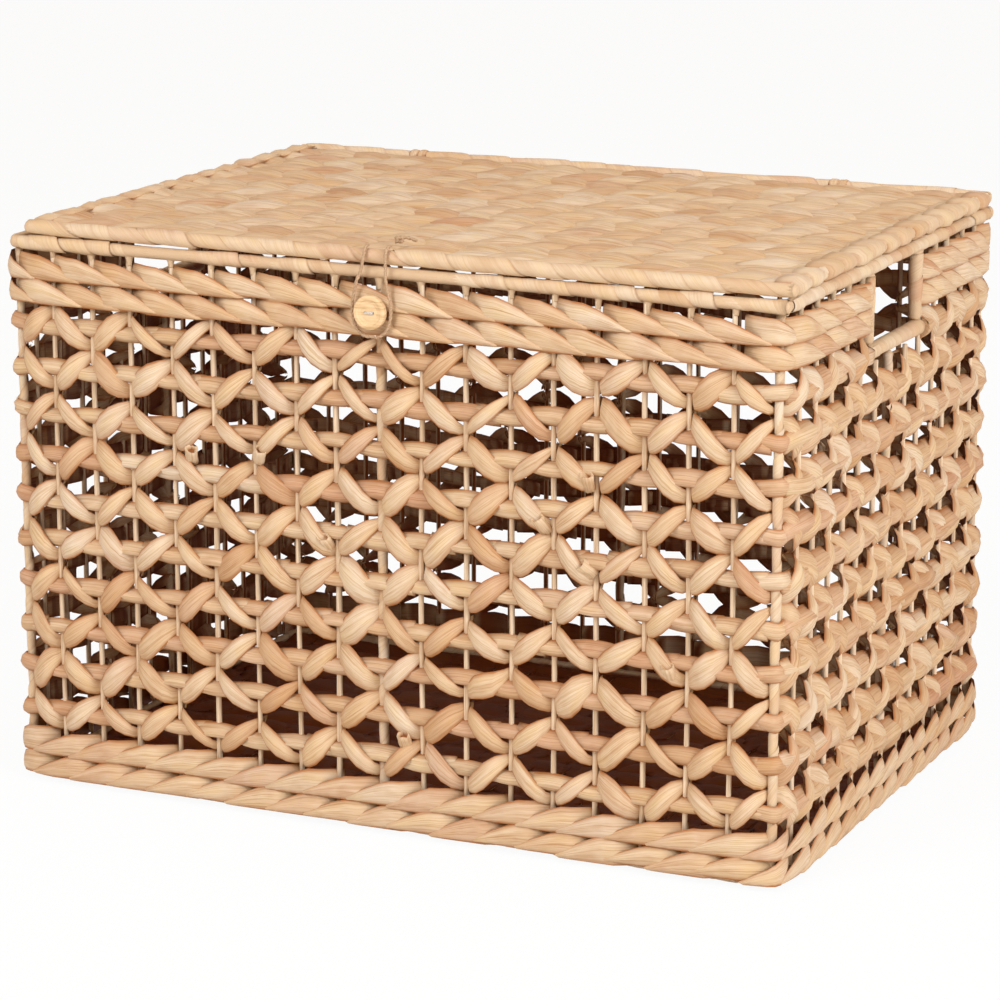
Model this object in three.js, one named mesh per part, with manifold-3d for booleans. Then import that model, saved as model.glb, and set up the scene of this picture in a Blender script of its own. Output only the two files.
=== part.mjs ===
// Woven lidded box: an open star weave of flat leaf on thin upright stakes, with a hinged woven lid,
// a handle hole in each short wall and a button and twine closure on the front.
// Millimetres, +Z up. The origin is on the floor under the middle of the box, and the front faces -Y.

import * as THREE from 'three';
import { mergeVertices } from 'three/addons/utils/BufferGeometryUtils.js';
import Module from 'manifold-3d';

const wasm = await Module();
wasm.setup();

// Walls, measured between the lines that the upright stakes stand on and up to the top of the rim
const WALL_LENGTH = 498;
const WALL_DEPTH = 352;
const WALL_HEIGHT = 342;
const FRONT_BAYS = 18;
const SIDE_BAYS = 14;
const CLEARANCE = 0.3;

// Upright sticks
const STAKE_THICKNESS = 3;
const CENTRE_POST_DIAMETER = 6;
const CORNER_POST_DIAMETER = 9.5;
const SILL_HEIGHT = 4;

// Base
const BASE_THICKNESS = 8.3;
const BASE_RIM_DIAMETER = 8.6;
const BASE_RIM_CORNER_RADIUS = 8;

// Twined bands, two at the foot of the walls and two under the rim
const BAND_HEIGHT = 14;
const BAND_THICKNESS = 7;
const BAND_ROUNDING = 2.8;
const FOOT_BAND_LIFT = 4.5;

// Star weave: rows of leaf that cross at every second stake
const ROW_COUNT = 10;
const CORE_HEIGHT = 13;
const WEAVE_THICKNESS = 6.5;
const PETAL_FOOT_WIDTH = 22;
const PINCH_WIDTH = 5.5;

// Rim
const RIM_GAP = 2.8;
const RIM_DIAMETER = 8.5;
const RIM_OVERHANG = 2;

// Handle holes in the short walls
const HANDLE_WIDTH = 72;
const HANDLE_HEIGHT = 39;
const HANDLE_BAR_DIAMETER = 14;
const HANDLE_POST_DIAMETER = 11.5;

// Lid, a little shorter than the walls. On its ties it hangs slightly to the right
const LID_ROD_DIAMETER = 10;
const LID_INSET = 1.5;
const LID_SHIFT = 7;
const LID_WEAVE_THICKNESS = 10.4;

// Hinge ties, loops of leaf round the back rod of the lid and the rim rod under it
const TIE_SPACING = 300;
const TIE_WIDTH = 12;
const TIE_THICKNESS = 1.2;

// Button
const BUTTON_DIAMETER = 20;
const BUTTON_THICKNESS = 4;
const BUTTON_DISH_DEPTH = 1;
const BUTTON_RIM_WIDTH = 2.6;
const BUTTON_STANDOFF = 1.5;
const BUTTON_HOLE_DIAMETER = 2.6;
const BUTTON_HOLE_SPACING = 5;
const THREAD_DIAMETER = 1.2;

// Twine loop that hangs from the front rod of the lid and slips over the button
const TWINE_DIAMETER = 2.2;
const TWINE_STEPS = 56;
const LOOP_TOP_WIDTH = 14;
const LOOP_SIDE_CLEARANCE = 1.1;
const LOOP_FOOT_CLEARANCE = 3;
const KNOT_DIAMETER = 5.2;

// Numbers of facets. An arc is drawn with twice its number of steps.
const ROD_SIDES = 12;
const CORD_SIDES = 8;
const BAND_ARC_STEPS = 1;
const BASE_ARC_STEPS = 2;
const TIE_ARC_STEPS = 6;
const BUTTON_SIDES = 24;
const HOLE_SIDES = 10;
const STITCH_STEPS = 18;

// Offsets out of the line of the stakes
const stakeRadius = STAKE_THICKNESS / 2;
const weaveBack = stakeRadius + CLEARANCE;
const weaveFront = weaveBack + WEAVE_THICKNESS;
const bandFront = weaveBack + BAND_THICKNESS;

// Heights: the foot bands are stacked up from the floor and the rim bands down from the rim,
// and the rows of star weave share what is left between them
const footBandLower = FOOT_BAND_LIFT;
const footBandUpper = footBandLower + BAND_HEIGHT + CLEARANCE;
const starBottom = footBandUpper + BAND_HEIGHT + CLEARANCE;
const rimBottom = WALL_HEIGHT - RIM_DIAMETER;
const rimCentre = WALL_HEIGHT - RIM_DIAMETER / 2;
const rimBandUpper = rimBottom - RIM_GAP - BAND_HEIGHT;
const rimBandLower = rimBandUpper - CLEARANCE - BAND_HEIGHT;
const starTop = rimBandLower - CLEARANCE;
const rowPitch = (starTop - starBottom) / ROW_COUNT;
const lidBottom = WALL_HEIGHT + CLEARANCE;
const lidRodCentre = lidBottom + LID_ROD_DIAMETER / 2;
const uprightBottom = BASE_RIM_DIAMETER + CLEARANCE;
const sillTop = uprightBottom + SILL_HEIGHT;
const uprightTop = rimBottom - CLEARANCE;

// Places that several pieces share
const halfLength = WALL_LENGTH / 2;
const halfDepth = WALL_DEPTH / 2;
const cornerInset = CORNER_POST_DIAMETER / 2 - stakeRadius;
const baseRimInset = BASE_RIM_DIAMETER / 2 - stakeRadius + CLEARANCE;
const handleHalf = HANDLE_WIDTH / 2 + HANDLE_POST_DIAMETER;
const handleBarTop = rimBottom - HANDLE_HEIGHT;
const handleBarBottom = handleBarTop - HANDLE_BAR_DIAMETER;
const lidLeft = LID_SHIFT + LID_INSET - halfLength;
const lidRight = LID_SHIFT - LID_INSET + halfLength;
const lidRodRadius = LID_ROD_DIAMETER / 2;
const buttonCentre = rimBandLower + BAND_HEIGHT;
const buttonBack = bandFront + BUTTON_STANDOFF;

const leaf = new THREE.MeshStandardMaterial({ color: 0xd8b07a, roughness: 0.72, metalness: 0 });
const leafWrap = new THREE.MeshStandardMaterial({ color: 0xd2a871, roughness: 0.74, metalness: 0 });
const stick = new THREE.MeshStandardMaterial({ color: 0xe3cba0, roughness: 0.6, metalness: 0 });
const buttonWood = new THREE.MeshStandardMaterial({ color: 0xd9b67c, roughness: 0.55, metalness: 0 });
const cotton = new THREE.MeshStandardMaterial({ color: 0xe9e4d6, roughness: 0.85, metalness: 0 });
const twine = new THREE.MeshStandardMaterial({ color: 0xa88a5e, roughness: 0.9, metalness: 0 });

function part(name, geometry, material) {
  const mesh = new THREE.Mesh(geometry, material);
  mesh.name = name;
  return mesh;
}

// Solid joins and cuts
function toSolid(geometry) {
  const bare = geometry.index ? geometry.toNonIndexed() : geometry.clone();
  bare.deleteAttribute('normal');
  bare.deleteAttribute('uv');
  const merged = mergeVertices(bare);
  return new wasm.Manifold(new wasm.Mesh({
    numProp: 3,
    vertProperties: new Float32Array(merged.attributes.position.array),
    triVerts: new Uint32Array(merged.index.array),
  }));
}

function toGeometry(solid) {
  const { vertProperties, triVerts } = solid.getMesh();
  const geometry = new THREE.BufferGeometry();
  geometry.setAttribute('position', new THREE.BufferAttribute(vertProperties, 3));
  geometry.setIndex(new THREE.BufferAttribute(triVerts, 1));
  geometry.computeVertexNormals();
  return geometry;
}

function cut(geometry, tools) {
  let solid = toSolid(geometry);
  for (const tool of tools) {
    solid = solid.subtract(toSolid(tool));
  }
  return toGeometry(solid);
}

// A box between two corners
function boxBetween(low, high) {
  const size = new THREE.Vector3().subVectors(high, low);
  const middle = new THREE.Vector3().addVectors(high, low).multiplyScalar(0.5);
  return new THREE.BoxGeometry(size.x, size.y, size.z).translate(middle.x, middle.y, middle.z);
}

function rodAlongX(diameter, from, to, y, z) {
  const rod = new THREE.CylinderGeometry(diameter / 2, diameter / 2, to - from, ROD_SIDES);
  return rod.rotateZ(Math.PI / 2).translate((from + to) / 2, y, z);
}

function rodAlongY(diameter, from, to, x, z) {
  const rod = new THREE.CylinderGeometry(diameter / 2, diameter / 2, to - from, ROD_SIDES);
  return rod.translate(x, (from + to) / 2, z);
}

function rodAlongZ(diameter, from, to, x, y) {
  const rod = new THREE.CylinderGeometry(diameter / 2, diameter / 2, to - from, ROD_SIDES);
  return rod.rotateX(Math.PI / 2).translate(x, y, (from + to) / 2);
}

// A rectangle with round corners, about its own middle
function roundedRectangle(width, height, radius, outline = new THREE.Shape()) {
  const x = width / 2 - radius;
  const y = height / 2 - radius;
  outline.absarc(x, y, radius, 0, Math.PI / 2, false);
  outline.absarc(-x, y, radius, Math.PI / 2, Math.PI, false);
  outline.absarc(-x, -y, radius, Math.PI, 1.5 * Math.PI, false);
  outline.absarc(x, -y, radius, 1.5 * Math.PI, 2 * Math.PI, false);
  outline.closePath();
  return outline;
}

// An upright outline in the plane of a wall, made solid from one offset out to another.
// Each wall is drawn in its own frame: x along the wall, -y out of it, z up.
function wallPlate(outline, back, front) {
  const plate = new THREE.ExtrudeGeometry(outline, { depth: front - back, bevelEnabled: false });
  return plate.rotateX(Math.PI / 2).translate(0, -back, 0);
}

// A twined band as a rounded bar along the wall
function band(from, to, bottom) {
  const section = roundedRectangle(BAND_THICKNESS, BAND_HEIGHT, BAND_ROUNDING);
  const bar = new THREE.ExtrudeGeometry(section, {
    depth: to - from,
    bevelEnabled: false,
    curveSegments: BAND_ARC_STEPS,
  });
  const alongWall = new THREE.Matrix4().makeBasis(
    new THREE.Vector3(0, 1, 0),
    new THREE.Vector3(0, 0, 1),
    new THREE.Vector3(1, 0, 0),
  );
  const middle = (weaveBack + bandFront) / 2;
  return bar.applyMatrix4(alongWall).translate(from, -middle, bottom + BAND_HEIGHT / 2);
}

// The star weave of one wall. Rows of leaf run along the wall, and at every second stake the petals of
// one row are pinched against those of the next, so the wall has a window at each stake between.
function starWeave(length, bays, reach) {
  const pitch = length / bays;
  const windowRise = (rowPitch - CORE_HEIGHT) / 2;
  const foot = PETAL_FOOT_WIDTH / 2;
  const pinch = PINCH_WIDTH / 2;
  const stakeAt = (index) => -length / 2 + index * pitch;
  const lineAt = (line) => starBottom + line * rowPitch;
  const isPinched = (index, line) => (index + ROW_COUNT - 1 - line) % 2 === 0;
  const outline = [];

  // Petal tips along the lower or upper edge, from left to right
  const edge = (line, rise) => {
    const points = [];
    if (!isPinched(0, line)) points.push([-reach, lineAt(line) + rise]);
    for (let index = 0; index <= bays; index += 1) {
      if (!isPinched(index, line)) continue;
      const left = [[stakeAt(index) - foot, lineAt(line) + rise], [stakeAt(index) - pinch, lineAt(line)]];
      const right = [[stakeAt(index) + pinch, lineAt(line)], [stakeAt(index) + foot, lineAt(line) + rise]];
      if (index === 0) points.push([-reach, lineAt(line)], ...right);
      else if (index === bays) points.push(...left, [reach, lineAt(line)]);
      else points.push(...left, ...right);
    }
    if (!isPinched(bays, line)) points.push([reach, lineAt(line) + rise]);
    return points;
  };

  // Half windows where the rows turn the corner, from the bottom to the top
  const corner = (side, index, neighbour) => {
    const points = [];
    for (let line = 1; line < ROW_COUNT; line += 1) {
      if (isPinched(index, line)) continue;
      const inner = stakeAt(neighbour);
      points.push(
        [side * reach, lineAt(line) - windowRise],
        [inner + side * foot, lineAt(line) - windowRise],
        [inner + side * pinch, lineAt(line)],
        [inner + side * foot, lineAt(line) + windowRise],
        [side * reach, lineAt(line) + windowRise],
      );
    }
    return points;
  };

  outline.push(...edge(0, windowRise));
  outline.push(...corner(1, bays, bays - 1));
  outline.push(...edge(ROW_COUNT, -windowRise).reverse());
  outline.push(...corner(-1, 0, 1).reverse());
  const shape = new THREE.Shape(outline.map(([x, z]) => new THREE.Vector2(x, z)));

  for (let line = 1; line < ROW_COUNT; line += 1) {
    for (let index = 1; index < bays; index += 1) {
      if (isPinched(index, line)) continue;
      const left = stakeAt(index - 1);
      const right = stakeAt(index + 1);
      shape.holes.push(new THREE.Path([
        new THREE.Vector2(left + pinch, lineAt(line)),
        new THREE.Vector2(left + foot, lineAt(line) + windowRise),
        new THREE.Vector2(right - foot, lineAt(line) + windowRise),
        new THREE.Vector2(right - pinch, lineAt(line)),
        new THREE.Vector2(right - foot, lineAt(line) - windowRise),
        new THREE.Vector2(left + foot, lineAt(line) - windowRise),
      ]));
    }
  }
  return wallPlate(shape, weaveBack, weaveFront);
}

// A wall's thin stakes on the sill that they spring from, with the middle place left to the wrapped post
function stakeComb(length, bays, topAt) {
  const sillHalf = length / 2 - cornerInset - CORNER_POST_DIAMETER / 2 - CLEARANCE;
  const pitch = length / bays;
  const points = [[-sillHalf, uprightBottom], [sillHalf, uprightBottom], [sillHalf, sillTop]];
  for (let index = bays - 1; index > 0; index -= 1) {
    const x = -length / 2 + index * pitch;
    if (2 * index === bays) continue;
    points.push([x + stakeRadius, sillTop], [x + stakeRadius, topAt(x)]);
    points.push([x - stakeRadius, topAt(x)], [x - stakeRadius, sillTop]);
  }
  points.push([-sillHalf, sillTop]);
  const shape = new THREE.Shape(points.map(([x, z]) => new THREE.Vector2(x, z)));
  return wallPlate(shape, -stakeRadius, stakeRadius);
}

// Everything that one wall is made of. The long walls take the corners, and the short walls fit between.
function wall(side, length, bays, isLong) {
  const group = new THREE.Group();
  const bandReach = isLong ? length / 2 + bandFront : length / 2 + stakeRadius;
  const weaveReach = isLong ? length / 2 + weaveFront : length / 2 + stakeRadius;
  const handleZone = handleHalf + CLEARANCE + stakeRadius;
  const shortTop = handleBarBottom - CLEARANCE;
  const topAt = (x) => (!isLong && Math.abs(x) < handleZone ? shortTop : uprightTop);

  group.add(part(`stakes_${side}`, stakeComb(length, bays, topAt), stick));

  const postOffset = CENTRE_POST_DIAMETER / 2 - stakeRadius;
  const post = rodAlongZ(CENTRE_POST_DIAMETER, sillTop + CLEARANCE, topAt(0), 0, postOffset);
  group.add(part(`centre_post_${side}`, post, leafWrap));

  let weave = starWeave(length, bays, weaveReach);
  if (!isLong) {
    const rowsBelowHandle = Math.floor((shortTop - starBottom) / rowPitch);
    const hole = boxBetween(
      new THREE.Vector3(-handleHalf - CLEARANCE, -bandFront, starBottom + rowsBelowHandle * rowPitch),
      new THREE.Vector3(handleHalf + CLEARANCE, 0, WALL_HEIGHT),
    );
    weave = cut(weave, [hole]);
  }
  group.add(part(`star_weave_${side}`, weave, leaf));

  group.add(part(`foot_band_lower_${side}`, band(-bandReach, bandReach, footBandLower), leaf));
  group.add(part(`foot_band_upper_${side}`, band(-bandReach, bandReach, footBandUpper), leaf));
  for (const [level, bottom] of [['lower', rimBandLower], ['upper', rimBandUpper]]) {
    if (isLong) {
      group.add(part(`rim_band_${level}_${side}`, band(-bandReach, bandReach, bottom), leaf));
    } else {
      const stop = handleHalf + CLEARANCE;
      group.add(part(`rim_band_${level}_${side}_a`, band(-bandReach, -stop, bottom), leaf));
      group.add(part(`rim_band_${level}_${side}_b`, band(stop, bandReach, bottom), leaf));
    }
  }

  if (!isLong) {
    const barCentre = handleBarBottom + HANDLE_BAR_DIAMETER / 2;
    const bar = rodAlongX(HANDLE_BAR_DIAMETER, -handleHalf, handleHalf, 0, barCentre);
    group.add(part(`handle_bar_${side}`, bar, leafWrap));
    for (const [end, sign] of [['a', -1], ['b', 1]]) {
      const x = sign * (handleHalf - HANDLE_POST_DIAMETER / 2);
      const handlePost = rodAlongZ(HANDLE_POST_DIAMETER, handleBarTop + CLEARANCE, uprightTop, x, 0);
      group.add(part(`handle_post_${side}_${end}`, handlePost, leafWrap));
    }
  }

  const rimReach = isLong ? length / 2 + RIM_OVERHANG : length / 2 - RIM_DIAMETER / 2 - CLEARANCE;
  group.add(part(`rim_rod_${side}`, rodAlongX(RIM_DIAMETER, -rimReach, rimReach, 0, rimCentre), leafWrap));
  return group;
}

function walls() {
  const group = new THREE.Group();
  const front = wall('front', WALL_LENGTH, FRONT_BAYS, true);
  front.position.y = -halfDepth;
  const back = wall('back', WALL_LENGTH, FRONT_BAYS, true);
  back.position.y = halfDepth;
  back.rotation.z = Math.PI;
  const right = wall('right', WALL_DEPTH, SIDE_BAYS, false);
  right.position.x = halfLength;
  right.rotation.z = Math.PI / 2;
  const left = wall('left', WALL_DEPTH, SIDE_BAYS, false);
  left.position.x = -halfLength;
  left.rotation.z = -Math.PI / 2;
  group.add(front, back, right, left);

  for (const [depthName, ySign] of [['front', -1], ['back', 1]]) {
    for (const [sideName, xSign] of [['left', -1], ['right', 1]]) {
      const x = xSign * (halfLength - cornerInset);
      const y = ySign * (halfDepth - cornerInset);
      const post = rodAlongZ(CORNER_POST_DIAMETER, uprightBottom, uprightTop, x, y);
      group.add(part(`corner_post_${depthName}_${sideName}`, post, leafWrap));
    }
  }
  return group;
}

// The woven floor of the box inside the rod that runs round its foot
function base() {
  const group = new THREE.Group();
  const outerLength = WALL_LENGTH - 2 * baseRimInset + BASE_RIM_DIAMETER;
  const outerDepth = WALL_DEPTH - 2 * baseRimInset + BASE_RIM_DIAMETER;
  const innerLength = outerLength - 2 * BASE_RIM_DIAMETER;
  const innerDepth = outerDepth - 2 * BASE_RIM_DIAMETER;
  const edgeRounding = BASE_RIM_DIAMETER / 4;

  const ring = roundedRectangle(outerLength, outerDepth, BASE_RIM_CORNER_RADIUS + BASE_RIM_DIAMETER);
  ring.holes.push(roundedRectangle(innerLength, innerDepth, BASE_RIM_CORNER_RADIUS, new THREE.Path()));
  const rim = new THREE.ExtrudeGeometry(ring, {
    depth: BASE_RIM_DIAMETER - 2 * edgeRounding,
    bevelThickness: edgeRounding,
    bevelSize: edgeRounding,
    bevelOffset: -edgeRounding,
    bevelSegments: 1,
    curveSegments: BASE_ARC_STEPS,
  });
  group.add(part('base_rim', rim.translate(0, 0, edgeRounding), leafWrap));

  const panel = roundedRectangle(
    innerLength - 2 * CLEARANCE,
    innerDepth - 2 * CLEARANCE,
    BASE_RIM_CORNER_RADIUS,
  );
  const floor = new THREE.ExtrudeGeometry(panel, {
    depth: BASE_THICKNESS,
    bevelEnabled: false,
    curveSegments: BASE_ARC_STEPS,
  });
  group.add(part('base_weave', floor, leaf));
  return group;
}

// The lid: four wrapped rods with the weave between them. The weave is notched for the hinge ties at the
// back and for the two strands of the twine loop at the front, which turn about the rods.
function lid() {
  const group = new THREE.Group();
  for (const [name, y] of [['front', -halfDepth], ['back', halfDepth]]) {
    const rod = rodAlongX(LID_ROD_DIAMETER, lidLeft, lidRight, y, lidRodCentre);
    group.add(part(`lid_rod_${name}`, rod, leafWrap));
  }
  const sideRodHalf = halfDepth - lidRodRadius - CLEARANCE;
  for (const [name, x] of [['left', lidLeft + lidRodRadius], ['right', lidRight - lidRodRadius]]) {
    const rod = rodAlongY(LID_ROD_DIAMETER, -sideRodHalf, sideRodHalf, x, lidRodCentre);
    group.add(part(`lid_rod_${name}`, rod, leafWrap));
  }

  const leftEdge = lidLeft + LID_ROD_DIAMETER + CLEARANCE;
  const rightEdge = lidRight - LID_ROD_DIAMETER - CLEARANCE;
  const edgeY = sideRodHalf;
  const tieDepth = TIE_THICKNESS + 2 * CLEARANCE;
  const strandDepth = TWINE_DIAMETER + 2 * CLEARANCE;
  const outline = [[leftEdge, -edgeY]];
  for (const x of [-LOOP_TOP_WIDTH / 2, LOOP_TOP_WIDTH / 2]) {
    const half = TWINE_DIAMETER / 2 + 2 * CLEARANCE;
    outline.push([x - half, -edgeY], [x - half, strandDepth - edgeY]);
    outline.push([x + half, strandDepth - edgeY], [x + half, -edgeY]);
  }
  outline.push([rightEdge, -edgeY], [rightEdge, edgeY]);
  for (const x of [TIE_SPACING / 2, -TIE_SPACING / 2]) {
    const half = TIE_WIDTH / 2 + 2 * CLEARANCE;
    outline.push([x + half, edgeY], [x + half, edgeY - tieDepth]);
    outline.push([x - half, edgeY - tieDepth], [x - half, edgeY]);
  }
  outline.push([leftEdge, edgeY]);
  const shape = new THREE.Shape(outline.map(([x, y]) => new THREE.Vector2(x, y)));
  const weave = new THREE.ExtrudeGeometry(shape, { depth: LID_WEAVE_THICKNESS, bevelEnabled: false });
  group.add(part('lid_weave', weave.translate(0, 0, lidBottom), leaf));

  const knotY = strandDepth - edgeY + KNOT_DIAMETER / 2 + CLEARANCE;
  const knotZ = lidBottom + LID_WEAVE_THICKNESS + CLEARANCE + KNOT_DIAMETER / 2;
  const knot = new THREE.SphereGeometry(KNOT_DIAMETER / 2, CORD_SIDES, CORD_SIDES / 2).rotateX(Math.PI / 2);
  group.add(part('closure_knot', knot.translate(LOOP_TOP_WIDTH / 2, knotY, knotZ), twine));
  return group;
}

// Hinge ties: each is a strap that closes round the rim rod and the back rod of the lid
function hingeTies() {
  const group = new THREE.Group();
  const strap = (spare, outline) => {
    outline.absarc(0, lidRodCentre, lidRodRadius + spare, 0, Math.PI, false);
    outline.absarc(0, rimCentre, RIM_DIAMETER / 2 + spare, Math.PI, 2 * Math.PI, false);
    outline.closePath();
    return outline;
  };
  const alongX = new THREE.Matrix4().makeBasis(
    new THREE.Vector3(0, 1, 0),
    new THREE.Vector3(0, 0, 1),
    new THREE.Vector3(1, 0, 0),
  );
  for (const [name, x] of [['left', -TIE_SPACING / 2], ['right', TIE_SPACING / 2]]) {
    const outline = strap(CLEARANCE + TIE_THICKNESS, new THREE.Shape());
    outline.holes.push(strap(CLEARANCE, new THREE.Path()));
    const tie = new THREE.ExtrudeGeometry(outline, {
      depth: TIE_WIDTH,
      bevelEnabled: false,
      curveSegments: TIE_ARC_STEPS,
    });
    tie.applyMatrix4(alongX).translate(x - TIE_WIDTH / 2, halfDepth, 0);
    group.add(part(`hinge_tie_${name}`, tie, leaf));
  }
  return group;
}

// A round cord of one smooth run through its points
function cord(points, diameter, steps) {
  const section = new THREE.Shape();
  section.absarc(0, 0, diameter / 2, 0, 2 * Math.PI, false);
  return new THREE.ExtrudeGeometry(section, {
    steps,
    extrudePath: new THREE.CatmullRomCurve3(points),
    curveSegments: CORD_SIDES / 2,
    bevelEnabled: false,
  });
}

// The dished wooden button and the thread that sews it on, in a frame with z out of the wall
function button() {
  const group = new THREE.Group();
  const radius = BUTTON_DIAMETER / 2;
  const profile = [
    [0, 0],
    [radius - BUTTON_DISH_DEPTH, 0],
    [radius, BUTTON_DISH_DEPTH],
    [radius, BUTTON_THICKNESS - BUTTON_DISH_DEPTH],
    [radius - BUTTON_RIM_WIDTH / 2, BUTTON_THICKNESS],
    [radius - BUTTON_RIM_WIDTH, BUTTON_THICKNESS],
    [radius - BUTTON_RIM_WIDTH - BUTTON_DISH_DEPTH, BUTTON_THICKNESS - BUTTON_DISH_DEPTH],
    [0, BUTTON_THICKNESS - BUTTON_DISH_DEPTH],
  ];
  const disc = new THREE.LatheGeometry(profile.map(([x, y]) => new THREE.Vector2(x, y)), BUTTON_SIDES);
  disc.rotateX(Math.PI / 2);
  const holeLength = 4 * BUTTON_THICKNESS;
  const holes = [-BUTTON_HOLE_SPACING / 2, BUTTON_HOLE_SPACING / 2].map((x) => {
    const holeRadius = BUTTON_HOLE_DIAMETER / 2;
    return new THREE.CylinderGeometry(holeRadius, holeRadius, holeLength, HOLE_SIDES)
      .rotateX(Math.PI / 2)
      .translate(x, 0, 0);
  });
  group.add(part('button', cut(disc, holes), buttonWood));

  const face = BUTTON_THICKNESS - BUTTON_DISH_DEPTH;
  const stitchHeight = face + THREAD_DIAMETER / 2 + CLEARANCE;
  const legX = BUTTON_HOLE_SPACING / 2;
  // The thread dips into the groove between the two rim bands, whose last facet has this slope
  const grooveSlope = 1 + Math.SQRT2;
  const grooveDepth = BAND_ROUNDING - grooveSlope * (THREAD_DIAMETER - CLEARANCE) / 2 - CLEARANCE;
  const legEnd = -BUTTON_STANDOFF - grooveDepth;
  const stitch = [
    [-legX, legEnd],
    [-legX, face / 2],
    [-legX, face],
    [-legX / 2, stitchHeight],
    [legX / 2, stitchHeight],
    [legX, face],
    [legX, face / 2],
    [legX, legEnd],
  ].map(([x, z]) => new THREE.Vector3(x, 0, z));
  group.add(part('button_thread', cord(stitch, THREAD_DIAMETER, STITCH_STEPS), cotton));

  group.rotation.x = Math.PI / 2;
  group.position.set(0, -halfDepth - buttonBack, buttonCentre);
  return group;
}

// The twine loop: over the front rod of the lid, down past the rim and round under the button
function closureLoop() {
  const rodReach = lidRodRadius + CLEARANCE + TWINE_DIAMETER / 2;
  const topX = LOOP_TOP_WIDTH / 2;
  const sideX = BUTTON_DIAMETER / 2 + LOOP_SIDE_CLEARANCE + TWINE_DIAMETER / 2;
  const hang = bandFront + CLEARANCE + TWINE_DIAMETER / 2;
  const buttonRadius = BUTTON_DIAMETER / 2;
  const foot = buttonCentre - buttonRadius - LOOP_FOOT_CLEARANCE - TWINE_DIAMETER / 2;
  const diagonal = rodReach * Math.SQRT1_2;
  const strand = [
    [topX, 0, lidRodCentre + rodReach],
    [topX, diagonal, lidRodCentre + diagonal],
    [topX, rodReach, lidRodCentre],
    [topX + (sideX - topX) / 4, (rodReach + hang) / 2 + CLEARANCE, rimCentre],
    [topX + (sideX - topX) / 2, hang + CLEARANCE, rimBottom],
    [sideX, hang + CLEARANCE, buttonCentre + buttonRadius / 2],
    [sideX, hang + CLEARANCE, buttonCentre - buttonRadius / 4],
    [sideX * 0.8, hang + CLEARANCE, buttonCentre - buttonRadius],
    [sideX * 0.4, hang + CLEARANCE, foot],
  ];
  const right = strand.map(([x, out, z]) => new THREE.Vector3(x, -halfDepth - out, z));
  const middle = new THREE.Vector3(0, -halfDepth - hang - CLEARANCE, foot - CLEARANCE);
  const left = strand.map(([x, out, z]) => new THREE.Vector3(-x, -halfDepth - out, z)).reverse();
  return part('closure_loop', cord([...right, middle, ...left], TWINE_DIAMETER, TWINE_STEPS), twine);
}

const box = new THREE.Group();
box.add(base(), walls(), lid(), hingeTies(), button(), closureLoop());

export default box;
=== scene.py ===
# %% [markdown]
# # A woven lidded box
# The real thing is a storage box of dry leaf, woven by hand on thin upright sticks. Its walls are an open
# star weave, with two twined bands under the rim and two at the foot, and a flat twined lid hangs on ties
# at the back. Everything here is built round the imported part, which stays as a fixed frame: each piece of
# leaf takes its place from the box of the plain solid that it stands for.

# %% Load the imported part
import math

import bpy
import numpy as np
from mathutils import Matrix, Vector


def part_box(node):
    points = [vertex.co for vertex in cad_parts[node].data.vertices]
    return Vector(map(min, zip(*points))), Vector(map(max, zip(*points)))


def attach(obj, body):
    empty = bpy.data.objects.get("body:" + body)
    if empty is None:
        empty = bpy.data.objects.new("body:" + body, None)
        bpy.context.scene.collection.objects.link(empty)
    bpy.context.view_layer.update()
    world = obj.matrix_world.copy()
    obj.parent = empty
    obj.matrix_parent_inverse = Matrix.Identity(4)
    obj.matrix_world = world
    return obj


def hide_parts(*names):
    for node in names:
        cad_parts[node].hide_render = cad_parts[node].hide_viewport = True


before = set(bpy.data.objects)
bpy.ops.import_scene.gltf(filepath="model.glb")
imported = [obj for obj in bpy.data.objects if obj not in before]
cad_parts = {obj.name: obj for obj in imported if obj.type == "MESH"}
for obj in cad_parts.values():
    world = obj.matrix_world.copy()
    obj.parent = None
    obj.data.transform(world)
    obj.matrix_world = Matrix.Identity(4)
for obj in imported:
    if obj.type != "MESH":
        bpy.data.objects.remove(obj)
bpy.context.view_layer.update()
MM = 0.001
chance = np.random.default_rng(24)
scene = bpy.context.scene
print("solids in the frame:", len(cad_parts))

# %% [markdown]
# The camera comes first, because everything after it is judged through it. The photograph was taken from
# the front and a little to the right, slightly above the lid, with a long lens from over two metres away,
# so upright lines stay almost parallel. A camera can be aimed with a constraint, but a direction turned
# into a rotation says the same in two lines and leaves nothing behind.

# %% Camera at the angle of the photograph
AZIMUTH = math.radians(25.39)
ELEVATION = math.radians(13.79)
CAMERA_DISTANCE = 2.3341
CAMERA_TARGET = Vector((-0.0069, 0.0, 0.1633))
LENS = 133.77
SENSOR_WIDTH = 36
CLIP_END = 50


def add_object(name, data):
    added = bpy.data.objects.new(name, data)
    scene.collection.objects.link(added)
    return added


towards_camera = Vector((
    math.sin(AZIMUTH) * math.cos(ELEVATION),
    -math.cos(AZIMUTH) * math.cos(ELEVATION),
    math.sin(ELEVATION),
))
camera_data = bpy.data.cameras.new("camera")
camera_data.lens = LENS
camera_data.sensor_width = SENSOR_WIDTH
camera_data.clip_end = CLIP_END
camera = add_object("camera", camera_data)
camera.location = CAMERA_TARGET + towards_camera * CAMERA_DISTANCE
camera.rotation_euler = (-towards_camera).to_track_quat("-Z", "Y").to_euler()
scene.camera = camera
print("camera stands at", [round(value, 3) for value in camera.location])

# %% [markdown]
# The box stands on a white sweep in a bright studio. The light on it stays at a plain level, and the white
# comes from what the camera sees: the world shows pure white to the camera and to glossy rays, and lights
# the box with less, in the warm tone that light takes on between walls of leaf. The floor is a pale sheet of
# its own, lifted towards white for the camera in the same way, so the shadow under the box is still there.

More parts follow.
